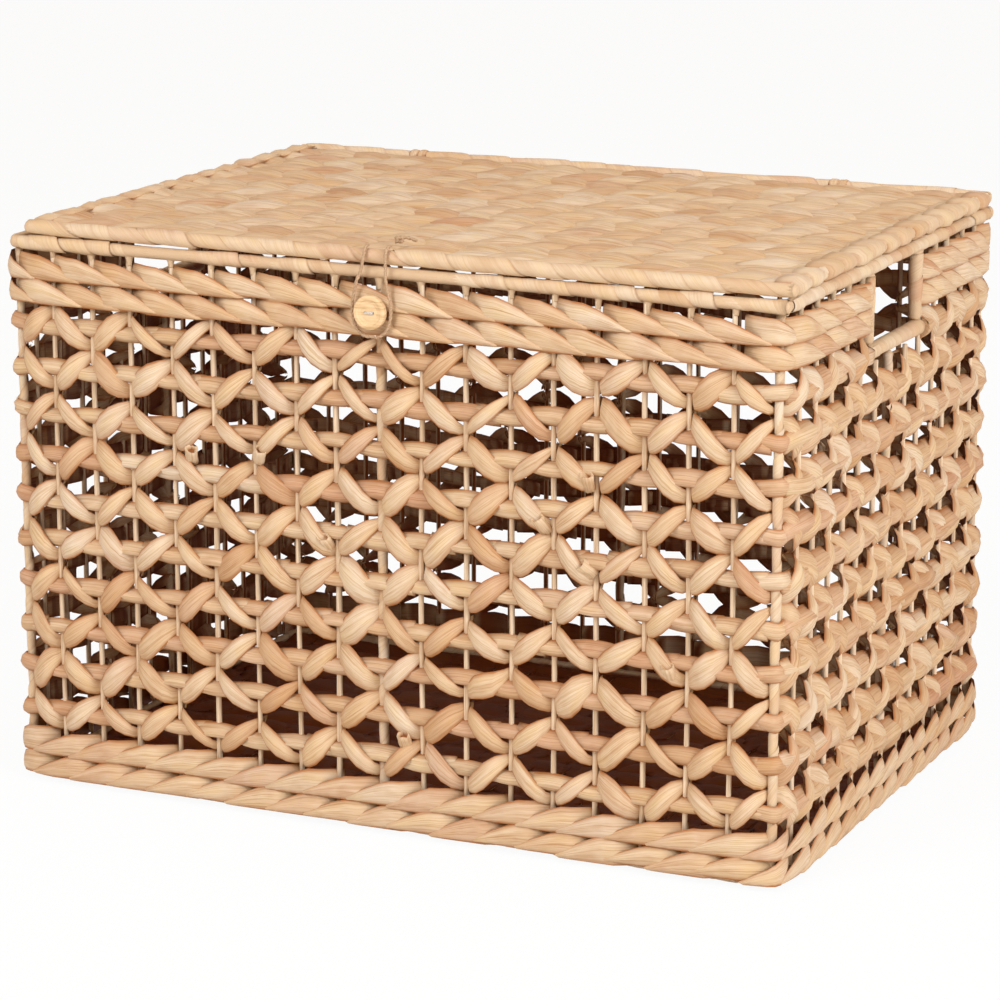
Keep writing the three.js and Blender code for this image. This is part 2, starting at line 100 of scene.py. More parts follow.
# %% World and floor
ROOM_LIGHT = 0.39
ROOM_COLOUR = (1, 0.65, 0.35, 1)

scene.view_settings.view_transform = "Standard"


def rays_that_show(tree):
    """1 for the rays that show a thing to the camera, straight, mirrored or through glass."""
    rays = tree.nodes.new("ShaderNodeLightPath")
    total = rays.outputs["Is Camera Ray"]
    for kind in ("Is Glossy Ray", "Is Transmission Ray"):
        either = tree.nodes.new("ShaderNodeMath")
        either.operation = "MAXIMUM"
        tree.links.new(total, either.inputs[0])
        tree.links.new(rays.outputs[kind], either.inputs[1])
        total = either.outputs[0]
    return total


world = bpy.data.worlds.new("white studio")
world.use_nodes = True
scene.world = world
tree = world.node_tree
tree.nodes.clear()
output = tree.nodes.new("ShaderNodeOutputWorld")
seen = tree.nodes.new("ShaderNodeBackground")
seen.inputs["Color"].default_value = (1, 1, 1, 1)
room = tree.nodes.new("ShaderNodeBackground")
room.inputs["Color"].default_value = ROOM_COLOUR
room.inputs["Strength"].default_value = ROOM_LIGHT
choose = tree.nodes.new("ShaderNodeMixShader")
tree.links.new(rays_that_show(tree), choose.inputs["Fac"])
tree.links.new(room.outputs[0], choose.inputs[1])
tree.links.new(seen.outputs[0], choose.inputs[2])
tree.links.new(choose.outputs[0], output.inputs["Surface"])

FLOOR_SIZE = 12
FLOOR_LEVEL = -0.5 * MM
FLOOR_GLOW = 0.94
PAPER_WHITE = (0.9, 0.9, 0.89, 1)

bpy.ops.object.select_all(action="DESELECT")
bpy.ops.mesh.primitive_plane_add(size=FLOOR_SIZE, location=(0, 0, FLOOR_LEVEL))
floor = bpy.context.object
floor.name = "floor"
paper = bpy.data.materials.new("white paper")
paper.use_nodes = True
tree = paper.node_tree
sheet = tree.nodes["Principled BSDF"]
sheet.inputs["Base Color"].default_value = PAPER_WHITE
sheet.inputs["Roughness"].default_value = 0.9
glow = tree.nodes.new("ShaderNodeEmission")
share = tree.nodes.new("ShaderNodeMath")
share.operation = "MULTIPLY"
share.inputs[1].default_value = FLOOR_GLOW
lift = tree.nodes.new("ShaderNodeMixShader")
tree.links.new(rays_that_show(tree), share.inputs[0])
tree.links.new(share.outputs[0], lift.inputs["Fac"])
tree.links.new(sheet.outputs[0], lift.inputs[1])
tree.links.new(glow.outputs[0], lift.inputs[2])
tree.links.new(lift.outputs[0], tree.nodes["Material Output"].inputs["Surface"])
floor.data.materials.append(paper)
print("floor of", FLOOR_SIZE, "metres")

# %% [markdown]
# Three large soft lamps do the rest: one high at the front left, one at the right for the short wall, and a
# faint one over the lid, which has light from the other two already. Their light is a little blue, as light
# from a window is, and the warm room makes up for it. Large lamps give the soft edges that the shadows
# between the leaves have.

# %% Lamps
DAYLIGHT = (0.93, 1.0, 1.1)
LAMP_AIM = Vector((0, 0, 0.17))
# Name, place and size in metres, and power in watts
LAMPS = [
    ("lamp_front", (-0.9, -2.6, 2.2), 1.6, 66),
    ("lamp_right", (2.7, -1.1, 1.6), 1.6, 77),
    ("lamp_top", (0.2, 0.3, 2.6), 1.8, 6.5),
]
for name, place, size, power in LAMPS:
    lamp_data = bpy.data.lights.new(name, "AREA")
    lamp_data.size = size
    lamp_data.energy = power
    lamp_data.color = DAYLIGHT
    lamp = add_object(name, lamp_data)
    lamp.location = place
    lamp.rotation_euler = (LAMP_AIM - lamp.location).to_track_quat("-Z", "Y").to_euler()
print("lamps:", len(LAMPS))

# %% [markdown]
# Every piece is finished in the same way: it gets its name and material, rides on a body of the frame, and
# hides the plain solids that it stands for. One short helper does this, and another joins many copies into
# one piece first, with all faces turned outwards. A third selects faces by a test on their normal, which is
# what a click does by hand.

# %% Helpers for finished pieces
FLAT = 0.9


def use_alone(piece):
    bpy.ops.object.select_all(action="DESELECT")
    piece.select_set(True)
    bpy.context.view_layer.objects.active = piece


def join(parts):
    bpy.ops.object.select_all(action="DESELECT")
    for part in parts:
        part.select_set(True)
    bpy.context.view_layer.objects.active = parts[0]
    bpy.ops.object.join()
    return parts[0]


def turn_outwards(piece):
    use_alone(piece)
    bpy.ops.object.mode_set(mode="EDIT")
    bpy.ops.mesh.select_all(action="SELECT")
    bpy.ops.mesh.normals_make_consistent(inside=False)
    bpy.ops.object.mode_set(mode="OBJECT")


def add_cylinder(sides, radius, depth):
    bpy.ops.object.select_all(action="DESELECT")
    bpy.ops.mesh.primitive_cylinder_add(vertices=sides, radius=radius, depth=depth, calc_uvs=False)
    return bpy.context.object


def is_end(face):
    """True for the two flat ends of an upright cylinder."""
    return abs(face.normal.z) > FLAT


def select_faces(piece, wanted):
    """Selects the faces that pass a test, and leaves the piece in edit mode."""
    use_alone(piece)
    bpy.ops.object.mode_set(mode="EDIT")
    bpy.ops.mesh.select_mode(type="FACE")
    bpy.ops.mesh.select_all(action="DESELECT")
    bpy.ops.object.mode_set(mode="OBJECT")
    for face in piece.data.polygons:
        face.select = wanted(face)
    bpy.ops.object.mode_set(mode="EDIT")


def finish_piece(piece, name, body, slot, material, *nodes):
    piece.name = name
    piece.data.name = name
    piece.data.materials.clear()
    piece.data.materials.append(material)
    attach(piece, body)
    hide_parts(*nodes)
    print(name, "stands for", ", ".join(nodes), "with", len(piece.data.polygons), "faces")
    return piece


def finish_joined(parts, *labels):
    piece = join(parts)
    turn_outwards(piece)
    return finish_piece(piece, *labels)


def middle(node):
    low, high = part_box(node)
    return (low + high) / 2


# %% [markdown]
# The closure is a length of two-ply jute twine. It comes out of the lid behind the front rod, goes over the
# rod and hangs round the button. A round tube would look like wire, so the section is the figure of two
# strands side by side, and the tilt of the curve turns it as it goes: that lays the plies round each other.

# %% Jute twine material
SPECULAR = 0.25
JUTE_SHADES = [(0.3, (0.34, 0.2, 0.1)), (0.7, (0.64, 0.44, 0.28))]


def new_material(name, roughness):
    material = bpy.data.materials.new(name)
    material.use_nodes = True
    shader = material.node_tree.nodes["Principled BSDF"]
    shader.inputs["Roughness"].default_value = roughness
    shader.inputs["Specular IOR Level"].default_value = SPECULAR
    return material, material.node_tree, shader


def add_noise(tree, vector, scale, detail, turn=(0, 0, 0)):
    """Noise on a vector that is first stretched by a scale for each axis."""
    mapping = tree.nodes.new("ShaderNodeMapping")
    mapping.inputs["Scale"].default_value = scale
    mapping.inputs["Rotation"].default_value = turn
    tree.links.new(vector, mapping.inputs["Vector"])
    noise = tree.nodes.new("ShaderNodeTexNoise")
    noise.inputs["Scale"].default_value = 1
    noise.inputs["Detail"].default_value = detail
    tree.links.new(mapping.outputs["Vector"], noise.inputs["Vector"])
    return noise.outputs["Fac"]


def own_space(tree):
    return tree.nodes.new("ShaderNodeTexCoord").outputs["Object"]


def add_ramp(tree, factor, *stops):
    ramp = tree.nodes.new("ShaderNodeValToRGB")
    ramp.color_ramp.elements.remove(ramp.color_ramp.elements[1])
    for index, (position, colour) in enumerate(stops):
        if index == 0:
            element = ramp.color_ramp.elements[0]
            element.position = position
        else:
            element = ramp.color_ramp.elements.new(position)
        element.color = (*colour, 1)
    tree.links.new(factor, ramp.inputs["Fac"])
    return ramp.outputs["Color"]


def add_bump(tree, height, shader, strength, depth):
    bump = tree.nodes.new("ShaderNodeBump")
    bump.inputs["Strength"].default_value = strength
    bump.inputs["Distance"].default_value = depth
    tree.links.new(height, bump.inputs["Height"])
    tree.links.new(bump.outputs["Normal"], shader.inputs["Normal"])


jute, tree, shader = new_material("jute twine", roughness=0.9)
hairs = add_noise(tree, own_space(tree), (2600, 2600, 2600), 3)
tree.links.new(add_ramp(tree, hairs, *JUTE_SHADES), shader.inputs["Base Color"])
add_bump(tree, hairs, shader, strength=0.5, depth=0.3 * MM)
print("jute material has", len(tree.nodes), "nodes")

# %% Twine over the rod and round the button
TWINE_DIAMETER = 2.2 * MM
TWINE_LAY = 6 * MM
CURVE_STEPS = 12
PLY_POINTS = 12
PLY_WAIST = 0.62
# Half the loop in millimetres: along the lid, out from the line of its front rod, and up from the floor
LOOP_ROUTE = [
    (7, 0, 353.7),
    (7, 4.525, 351.825),
    (7, 6.4, 347.3),
    (8.3, 8.6, 337.75),
    (9.6, 10.5, 333.5),
    (12.2, 10.5, 321.4),
    (12.2, 10.5, 313.9),
    (9.76, 10.5, 306.4),
    (4.88, 10.5, 302.3),
    (0, 10.5, 302),
]


def smooth_line(points, steps):
    """Points on a Catmull-Rom curve through the given ones."""
    points = np.array(points, dtype=float)
    padded = np.vstack([2 * points[0] - points[1], points, 2 * points[-1] - points[-2]])
    line = []
    for index in range(len(points) - 1):
        before, start, end, after = padded[index:index + 4]
        for t in np.linspace(0, 1, steps, endpoint=False):
            line.append(0.5 * (
                2 * start
                + (end - before) * t
                + (2 * before - 5 * start + 4 * end - after) * t ** 2
                + (3 * start - before - 3 * end + after) * t ** 3
            ))
    line.append(points[-1])
    return np.array(line)


def lay_twine(name, line, diameter, lay):
    """Two plies of twine laid round each other along a line, as a mesh, and the length of the line."""
    plies = bpy.data.curves.new("plies", "CURVE")
    section = plies.splines.new("POLY")
    section.points.add(PLY_POINTS - 1)
    for index, point in enumerate(section.points):
        angle = 2 * math.pi * index / PLY_POINTS
        radius = diameter / 2 * (PLY_WAIST + (1 - PLY_WAIST) * abs(math.cos(angle)))
        point.co = (radius * math.cos(angle), radius * math.sin(angle), 0, 1)
    section.use_cyclic_u = True
    plies_object = add_object("plies", plies)

    curve = bpy.data.curves.new(name, "CURVE")
    curve.dimensions = "3D"
    curve.bevel_mode = "OBJECT"
    curve.bevel_object = plies_object
    curve.use_fill_caps = True
    spline = curve.splines.new("POLY")
    spline.points.add(len(line) - 1)
    run = 0
    for index, point in enumerate(spline.points):
        if index:
            run += np.linalg.norm(line[index] - line[index - 1])
        point.co = (*line[index], 1)
        point.tilt = 2 * math.pi * run / lay
    twine = add_object(name, curve)
    use_alone(twine)
    bpy.ops.object.convert(target="MESH")
    twine = bpy.context.object
    bpy.ops.object.shade_smooth()
    bpy.data.objects.remove(plies_object)
    return twine, run


front_line = middle("lid_rod_front").y
half_loop = [(x * MM, front_line - out * MM, z * MM) for x, out, z in LOOP_ROUTE]
other_half = [(-x, y, z) for x, y, z in half_loop[-2::-1]]
loop_line = smooth_line(half_loop + other_half, CURVE_STEPS)
loop, loop_length = lay_twine("twine_round_button", loop_line, TWINE_DIAMETER, TWINE_LAY)
turn_outwards(loop)
finish_piece(loop, "twine_round_button", "twine_loop", "jute_twine", jute, "closure_loop")
print("twine loop is", round(loop_length, 4), "metres long")

# %% [markdown]
# The twine is tied off in a small overhand knot that lies on the lid behind the front rod. An overhand knot
# is the same curve as a trefoil, so one formula draws its three crossings, and the same two plies go along
# it. A short loose end stands up from it.

# %% Knot on the lid
KNOT_POINTS = 60
KNOT_HEIGHT = 1.6
TREFOIL_REACH = 3.6
LOOSE_END = np.array([(0, 0, 0), (2, 3, 1), (5, 5, 0.5), (9, 6, -1)]) * MM
LOOSE_STEPS = 5

knot_low, knot_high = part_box("closure_knot")
knot_reach = (knot_high.x - knot_low.x) / 2
turns = np.linspace(0, 2 * math.pi, KNOT_POINTS)
trefoil = np.column_stack([
    np.sin(turns) + 2 * np.sin(2 * turns),
    np.cos(turns) - 2 * np.cos(2 * turns),
    -KNOT_HEIGHT * np.sin(3 * turns),
])
knot_line = np.array(middle("closure_knot")) + trefoil * knot_reach / TREFOIL_REACH
loose_end = smooth_line(knot_line[-1] + LOOSE_END, LOOSE_STEPS)
knot_route = np.vstack([knot_line, loose_end[1:]])
knot, _ = lay_twine("twine_knot", knot_route, TWINE_DIAMETER, TWINE_LAY)
turn_outwards(knot)
finish_piece(knot, "twine_knot", "lid", "jute_twine", jute, "closure_knot")

# %% [markdown]
# Dry leaf is the finish of nearly everything else. A strip of it shows long fibres, pale and darker streaks
# along its length, brown edges where it was split, with a painted shade where strips meet laid over them, and
# a painted shade towards the ends where the stakes pinch it. No strip has quite the tone of the next, and
# some are pinkish or grey. A picture could hold all that, but a picture repeats.
# Here each strip carries its own UV map, with fibres running along U, and a colour attribute that says how
# light it is, how near an end and an edge each point lies, and how much blush it has. The side towards the
# inside of the box gets a painted shade, darker and browner. The lid is as pale below as above.

# %% Dry leaf material
LEAF_DARK = (0.57, 0.35, 0.19)
LEAF_MIDDLE = (0.69, 0.51, 0.325)
LEAF_LIGHT = (0.73, 0.6, 0.445)
# Brown of the split edges, which also serves as painted shade where strips meet
LEAF_EDGE = (0.38, 0.14, 0.04)
# Painted shade towards the ends of a strip, where the stakes pinch it
LEAF_PINCH_SHADE = (0.56, 0.3, 0.11)
LEAF_BLUSH = (0.56, 0.3, 0.18)
# Painted shade, multiplied into the faces that look into the box
PAINTED_INSIDE_SHADE = (0.34, 0.11, 0.018)
WHITE = (1, 1, 1)
LEAF_ROUGHNESS = 0.62
# Cells of noise for each metre along a strip and across it
FIBRES = (30, 1700, 1)
STREAKS = (16, 620, 1)
PATCHES = (45, 90, 1)
# What the colour is multiplied by, from the low places of the noise to the high ones
FIBRE_SHADES = [(0.34, (0.74, 0.6, 0.46)), (0.52, WHITE)]
STREAK_SHADES = [(0.28, (0.76, 0.62, 0.48)), (0.44, (0.95, 0.91, 0.86)), (0.6, WHITE)]
PATCH_SHADES = [(0.34, (0.9, 0.83, 0.77)), (0.5, WHITE), (0.66, (1, 0.97, 0.86))]
FIBRE_SHARE = 0.9
PATCH_SHARE = 0.9
EDGE_POWER = 5
EDGE_STRENGTH = 2.4
PINCH_SHADE_POWER = 3
PINCH_SHADE_STRENGTH = 1.5
LEAF_BUMP = 0.45
LEAF_GROOVE = 0.5 * MM
# Where the inside lies, as a factor on the place of a face: across the box or above the floor
WITHIN_WALLS = (-1, -1, 0)
ABOVE_FLOOR = (0, 0, 1)
SHADE_SLOPE = 3.5


def feed(tree, socket, value):
    """Links a socket to another one, or gives it a number, a vector or a colour."""
    if isinstance(value, bpy.types.NodeSocket):
        tree.links.new(value, socket)
    elif socket.type == "RGBA":
        socket.default_value = (*value, 1)
    else:
        socket.default_value = value


def add_mix(tree, blend, factor, first, second):
    mix = tree.nodes.new("ShaderNodeMix")
    mix.data_type = "RGBA"
    mix.blend_type = blend
    feed(tree, mix.inputs["Factor"], factor)
    feed(tree, mix.inputs["A"], first)
    feed(tree, mix.inputs["B"], second)
    return mix.outputs["Result"]


def add_math(tree, operation, first, second):
    step = tree.nodes.new("ShaderNodeMath")
    step.operation = operation
    step.use_clamp = True
    feed(tree, step.inputs[0], first)
    feed(tree, step.inputs[1], second)
    return step.outputs["Value"]


def add_vector_math(tree, operation, *vectors):
    step = tree.nodes.new("ShaderNodeVectorMath")
    step.operation = operation
    for socket, vector in zip(step.inputs, vectors):
        feed(tree, socket, vector)
    return step.outputs


def paint_inside_shade(tree, colour, inside, start):
    """Paints shade on the faces that look towards the inside of the box, from so much of the way round."""
    space = tree.nodes.new("ShaderNodeTexCoord").outputs
    level = add_vector_math(tree, "MULTIPLY", space["Object"], inside)
    inward = add_vector_math(tree, "NORMALIZE", level["Vector"])
    facing = add_vector_math(tree, "DOT_PRODUCT", inward["Vector"], space["Normal"])
    past_start = add_math(tree, "SUBTRACT", facing["Value"], start)
    share = add_math(tree, "MULTIPLY", past_start, SHADE_SLOPE)
    return add_mix(tree, "MULTIPLY", share, colour, PAINTED_INSIDE_SHADE)


def leaf_material(name, inside=None, start=0.72, streaky=0.85):
    material, tree, shader = new_material(name, LEAF_ROUGHNESS)
    strip_uv = tree.nodes.new("ShaderNodeUVMap")
    strip_uv.uv_map = "strip"
    fibres = add_noise(tree, strip_uv.outputs["UV"], FIBRES, 3)
    streaks = add_noise(tree, strip_uv.outputs["UV"], STREAKS, 3)
    patches = add_noise(tree, strip_uv.outputs["UV"], PATCHES, 2)
    facts = tree.nodes.new("ShaderNodeVertexColor")
    facts.layer_name = "leaf"
    split = tree.nodes.new("ShaderNodeSeparateColor")
    tree.links.new(facts.outputs["Color"], split.inputs["Color"])
    lightness = split.outputs["Red"]
    near_end = split.outputs["Green"]
    near_edge = split.outputs["Blue"]
    blush = facts.outputs["Alpha"]

    colour = add_ramp(tree, lightness, (0, LEAF_DARK), (0.5, LEAF_MIDDLE), (1, LEAF_LIGHT))
    colour = add_mix(tree, "MIX", blush, colour, LEAF_BLUSH)
    shades = (
        (streaks, STREAK_SHADES, streaky),
        (fibres, FIBRE_SHADES, streaky * FIBRE_SHARE),
        (patches, PATCH_SHADES, PATCH_SHARE),
    )
    for noise, stops, share in shades:
        colour = add_mix(tree, "MULTIPLY", share, colour, add_ramp(tree, noise, *stops))

    # Split edges brown, darkened further as painted shade where strips meet
    split_edge_and_shade = add_math(tree, "MULTIPLY", add_math(tree, "POWER", near_edge, EDGE_POWER), patches)
    split_edge_and_shade = add_math(tree, "MULTIPLY", split_edge_and_shade, EDGE_STRENGTH)
    colour = add_mix(tree, "MIX", split_edge_and_shade, colour, LEAF_EDGE)
    # Painted shade towards the pinched ends of a strip
    pinch_shade = add_math(tree, "MULTIPLY", add_math(tree, "POWER", near_end, PINCH_SHADE_POWER), streaks)
    pinch_shade = add_math(tree, "MULTIPLY", pinch_shade, PINCH_SHADE_STRENGTH)
    colour = add_mix(tree, "MIX", pinch_shade, colour, LEAF_PINCH_SHADE)
    # Painted shade on the faces that look towards the inside of the box
    if inside:
        colour = paint_inside_shade(tree, colour, inside, start)
    tree.links.new(colour, shader.inputs["Base Color"])
    add_bump(tree, add_math(tree, "ADD", fibres, streaks), shader, LEAF_BUMP, LEAF_GROOVE)
    return material


WOUND_STREAKS = 0.35
wall_leaf = leaf_material("leaf of the walls", WITHIN_WALLS)
# Painted shade: the floor leaf is darkened on all faces but those that look down
floor_leaf = leaf_material("leaf of the floor", ABOVE_FLOOR, start=-0.3)
lid_leaf = leaf_material("leaf of the lid", streaky=0.9)
wall_wrap = leaf_material("leaf wound on the walls", WITHIN_WALLS, streaky=WOUND_STREAKS)
lid_wrap = leaf_material("leaf wound on the lid", streaky=WOUND_STREAKS)
print("leaf material has", len(wall_leaf.node_tree.nodes), "nodes")

# %% [markdown]
# All the weaving is done with one strip of leaf. It starts as a six-sided cylinder: five of the corners of
# its section become the crowned face of the leaf, and the sixth its back. Its long edges are cut into eight
# lengths, so that a copy can bend. That is only some fifty faces, which matters, because the box takes
# almost three thousand strips. The two edges of the leaf are marked sharp, so that the shading stops there.

# %% One strip of leaf
STATIONS = 9
ACROSS = np.array([-1, -0.55, 0, 0.55, 1, 0])
LIFT = np.array([0, 0.78, 1, 0.78, 0, 0])
IS_BACK = np.array([0, 0, 0, 0, 0, 1])
EDGE_SHARE = np.array([1, 0.5, 0, 0.5, 1, 0.3])
LEAF_EDGES = (0, 4)


def cut_lengthwise(piece, cuts):
    """Cuts the upright edges of a primitive one unit tall into shorter lengths."""
    use_alone(piece)
    bpy.ops.object.mode_set(mode="EDIT")
    bpy.ops.mesh.select_mode(type="EDGE")
    bpy.ops.mesh.select_all(action="DESELECT")
    bpy.ops.object.mode_set(mode="OBJECT")
    for edge in piece.data.edges:
        ends = [piece.data.vertices[index].co.z for index in edge.vertices]
        edge.select = abs(ends[0] - ends[1]) > 0.5
    bpy.ops.object.mode_set(mode="EDIT")
    bpy.ops.mesh.subdivide(number_cuts=cuts)
    bpy.ops.object.mode_set(mode="OBJECT")
    bpy.ops.object.shade_smooth()


def add_leaf_layers(mesh):
    """The UV map and the colour attribute that the leaf material reads."""
    mesh.uv_layers.new(name="strip")
    mesh.color_attributes.new("leaf", "FLOAT_COLOR", "POINT")


strip = add_cylinder(len(ACROSS), 1, 1)
cut_lengthwise(strip, STATIONS - 2)
add_leaf_layers(strip.data)

station_of = []
corner_of = []
for vertex in strip.data.vertices:
    turn = math.atan2(vertex.co.y, vertex.co.x) / (2 * math.pi) * len(ACROSS)
    station_of.append(round((vertex.co.z + 0.5) * (STATIONS - 1)))
    corner_of.append(math.floor(turn) % len(ACROSS))
station_of = np.array(station_of)
corner_of = np.array(corner_of)
for edge in strip.data.edges:
    first, second = edge.vertices
    runs_along = corner_of[first] == corner_of[second]
    edge.use_edge_sharp = bool(runs_along and corner_of[first] in LEAF_EDGES)
strip_mesh = strip.data
bpy.data.objects.remove(strip)
print("one strip has", len(strip_mesh.polygons), "faces")

# %% [markdown]
# A strip is laid by saying where it runs: along the wall, out of it and up it, how wide it is at each of its
# nine stations, how much its face is crowned and how deep its back lies. The place function turns those into
# points of the box, so the same call lays a leaf on a wall, round a corner or on the lid. The crown of each
# copy is a little uneven, as no leaf is folded quite like another.

# %% Lay a strip of leaf
EVEN = np.linspace(0, 1, STATIONS)
EASED = 0.5 - 0.5 * np.cos(math.pi * EVEN)
FIBRE_WIDTH = 8.0
FOLD_VARIES = 0.14
NOISE_ROOM = 40
MOST_BLUSH = 0.9


def write_leaf(mesh, grain, facts):
    """Fills the UV map and the colour attribute of a mesh from a row for each vertex."""
    vertex_of_loop = np.empty(len(mesh.loops), dtype=np.int32)
    mesh.loops.foreach_get("vertex_index", vertex_of_loop)
    mesh.uv_layers["strip"].data.foreach_set("uv", grain[vertex_of_loop].ravel())
    mesh.color_attributes["leaf"].data.foreach_set("color", facts.ravel())
    mesh.update()


def lay_strip(place, along, out, up, half, crown, back, tone, blush=0.0, ends=1.0, edges=1.0):
    """A copy of the strip. Lengths are in millimetres, and each is one value or one for each station."""
    sizes = np.broadcast_arrays(along, out, up, half, crown, back, EVEN)
    along, out, up, half, crown, back = sizes[:-1]
    fold = LIFT * chance.normal(1, FOLD_VARIES, len(LIFT))
    lift = crown[:, None] * fold - back[:, None] * IS_BACK
    points = place(
        along[:, None] + 0 * lift,
        out[:, None] + lift,
        up[:, None] + half[:, None] * ACROSS[None, :],
    )
    mesh = strip_mesh.copy()
    mesh.vertices.foreach_set("co", (points[station_of, corner_of] * MM).ravel())

    steps = np.abs(np.diff(along)) + 0.5 * np.abs(np.diff(up))
    run = np.concatenate([[0], np.cumsum(steps)]) * MM
    shift = chance.uniform(0, NOISE_ROOM, 2)
    fibre = ACROSS * FIBRE_WIDTH * MM
    grain = np.column_stack([run[station_of] + shift[0], fibre[corner_of] + shift[1]])
    facts = np.empty((len(station_of), 4))
    facts[:, 0] = np.clip(tone, 0, 1)
    facts[:, 1] = ends * np.abs(2 * EVEN[station_of] - 1)
    facts[:, 2] = edges * EDGE_SHARE[corner_of]
    facts[:, 3] = np.clip(blush, 0, MOST_BLUSH)
    write_leaf(mesh, grain, facts)
    return add_object("laid_strip", mesh)


def any_tone(lightness, spread):
    return chance.normal(lightness, spread)


def any_blush(usual, spread):
    return max(0, chance.normal(usual, spread))


# %% [markdown]
# The four walls are the same weave, seen from four sides. Each wall is measured from its middle: along it,
# out from the line of its stakes, and up from the floor. A strip that runs past the end of a wall has to
# bend round the corner post, so past that point the length along the wall is wound onto a quarter circle
# about the post, and then runs on along the next wall. Near the post the leaf is drawn in, so that it lies
# snug against it.

# %% Places on the walls
FRONT_BAYS = 18
SIDE_BAYS = 14
ROWS = 10
CORNER_BULGE = 6.0
CORNER_SNUG = 0.5
SNUG_FROM = 18

half_length = middle("stakes_right").x / MM
half_depth = -middle("stakes_front").y / MM
corner_inset = half_length - middle("corner_post_front_right").x / MM
corner_bend = corner_inset + CORNER_BULGE
handle_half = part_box("handle_bar_right")[1].y / MM
handle_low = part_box("handle_bar_right")[0].z / MM

# Bays, half the length, distance from the middle of the box, and the directions along and out
WALLS = {
    "front": (FRONT_BAYS, half_length, half_depth, (1, 0), (0, -1)),
    "right": (SIDE_BAYS, half_depth, half_length, (0, 1), (1, 0)),
    "back": (FRONT_BAYS, half_length, half_depth, (-1, 0), (0, 1)),
    "left": (SIDE_BAYS, half_depth, half_length, (0, -1), (-1, 0)),
}
SHORT_WALLS = ("right", "left")


def wall_place(side):
    """The place function of one wall."""
    _, half, line, forward, outward = WALLS[side]
    straight = half - corner_inset

    def place(along, out, up):
        past = np.abs(along) - straight
        near_post = np.clip(1 + past / SNUG_FROM, 0, 1)
        out = np.where(out > 0, out * (1 - (1 - CORNER_SNUG) * near_post), out)
        bend = np.clip(past / corner_bend, 0, math.pi / 2)
        beyond = np.maximum(past - corner_bend * math.pi / 2, 0)
        reach = corner_inset + out
        level = np.where(past > 0, straight + reach * np.sin(bend), np.abs(along)) * np.sign(along)
        away = np.where(past > 0, reach * np.cos(bend) - corner_inset - beyond, out) + line
        return np.stack([
            level * forward[0] + away * outward[0],
            level * forward[1] + away * outward[1],
            up + 0 * level,
        ], axis=-1)

    return place


print("from the middle to a wall:", round(half_length), "and", round(half_depth), "mm")

# %% [markdown]
# Nothing woven by hand is quite straight. Each stake stands a little off its place, and each row rises and
# sinks a little along the wall. Both are drawn once for each wall, so that petals, cores, bands and sticks
# all follow the same unevenness. At the corners it is nothing, so that the walls still meet.

# %% Uneven stakes and rows
STAKE_WANDER = 0.9
ROW_WANDER = 1.0

stake_lines = {}
row_sag = {}
for side, (bays, half, *_) in WALLS.items():
    lines = np.linspace(-half, half, bays + 1)
    lines[1:-1] += chance.normal(0, STAKE_WANDER, bays - 1)
    lines[bays // 2] = 0
    lines[-1] = half - corner_inset + corner_bend * math.pi / 4
    lines[0] = -lines[-1]
    stake_lines[side] = lines
    rough = chance.normal(0, 1, (ROWS, bays + 1))
    smooth = (np.roll(rough, 1, axis=1) + rough + np.roll(rough, -1, axis=1)) / math.sqrt(3)
    smooth[:, [0, -1]] = 0
    row_sag[side] = smooth * ROW_WANDER

star_low, star_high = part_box("star_weave_front")
row_pitch = (star_high.z - star_low.z) / ROWS / MM
row_heights = [star_high.z / MM - (row + 0.5) * row_pitch for row in range(ROWS)]
bay_width = 2 * half_length / FRONT_BAYS
print("rows every", round(row_pitch, 1), "mm, bays of", round(bay_width, 1), "mm")

# %% [markdown]
# The petals of the star weave are one wide strip in each row. Behind one stake it lies above the core of its
# row, then it crosses in front of the core and goes behind the next stake below it. Seen from outside, each
# crossing is a leaf shape: narrow where the stakes pinch it, broad and crowned between. The two edges follow
# the same curve, a slope with half a sine on it, once from above and once turned end for end. The strip lies
# on the round core like a saddle, so the place function sets a point further back the higher or lower it is.
# On the short walls the stakes stand closer, so there the strip is fuller and its saddle deeper.

# %% Petals of the star weave
PETAL_TIP = 12.4
PETAL_FALL = 20.6
PETAL_CROWN = 1.2
PETAL_BACK = 3.2
PETAL_EDGE = 0.4
PETAL_ROUND = 0.75
LONG_WALL_PETAL = {"swell": 6.4, "bulge": 12.0, "rise": 0.36, "saddle": 3.2}
SHORT_WALL_PETAL = {"swell": 9.0, "bulge": 11.5, "rise": 0.45, "saddle": 5.0}
# How far the petals differ: shares of a size or of a bay, and millimetres for the bulge
TIP_VARIES = 0.03
FALL_VARIES = 0.05
SWELL_VARIES = 0.18
SKEW_VARIES = 0.08
BULGE_VARIES = 0.6
PETAL_TONE = (0.58, 0.23)
PETAL_BLUSH = (-0.12, 0.26)
BEHIND_STAKE = -2.6
BEHIND_POST = -3.6
POST_COVER = 5.5
LEAF_THICKNESS = 1.2
OVERRUN = 0.05


def over_core(place, height, saddle):
    """The place function of a strip that lies over the core of a row at this height."""

    def laid_over(along, out, up):
        return place(along, out - saddle * ((up - height) / PETAL_TIP) ** 2, up)

    return laid_over


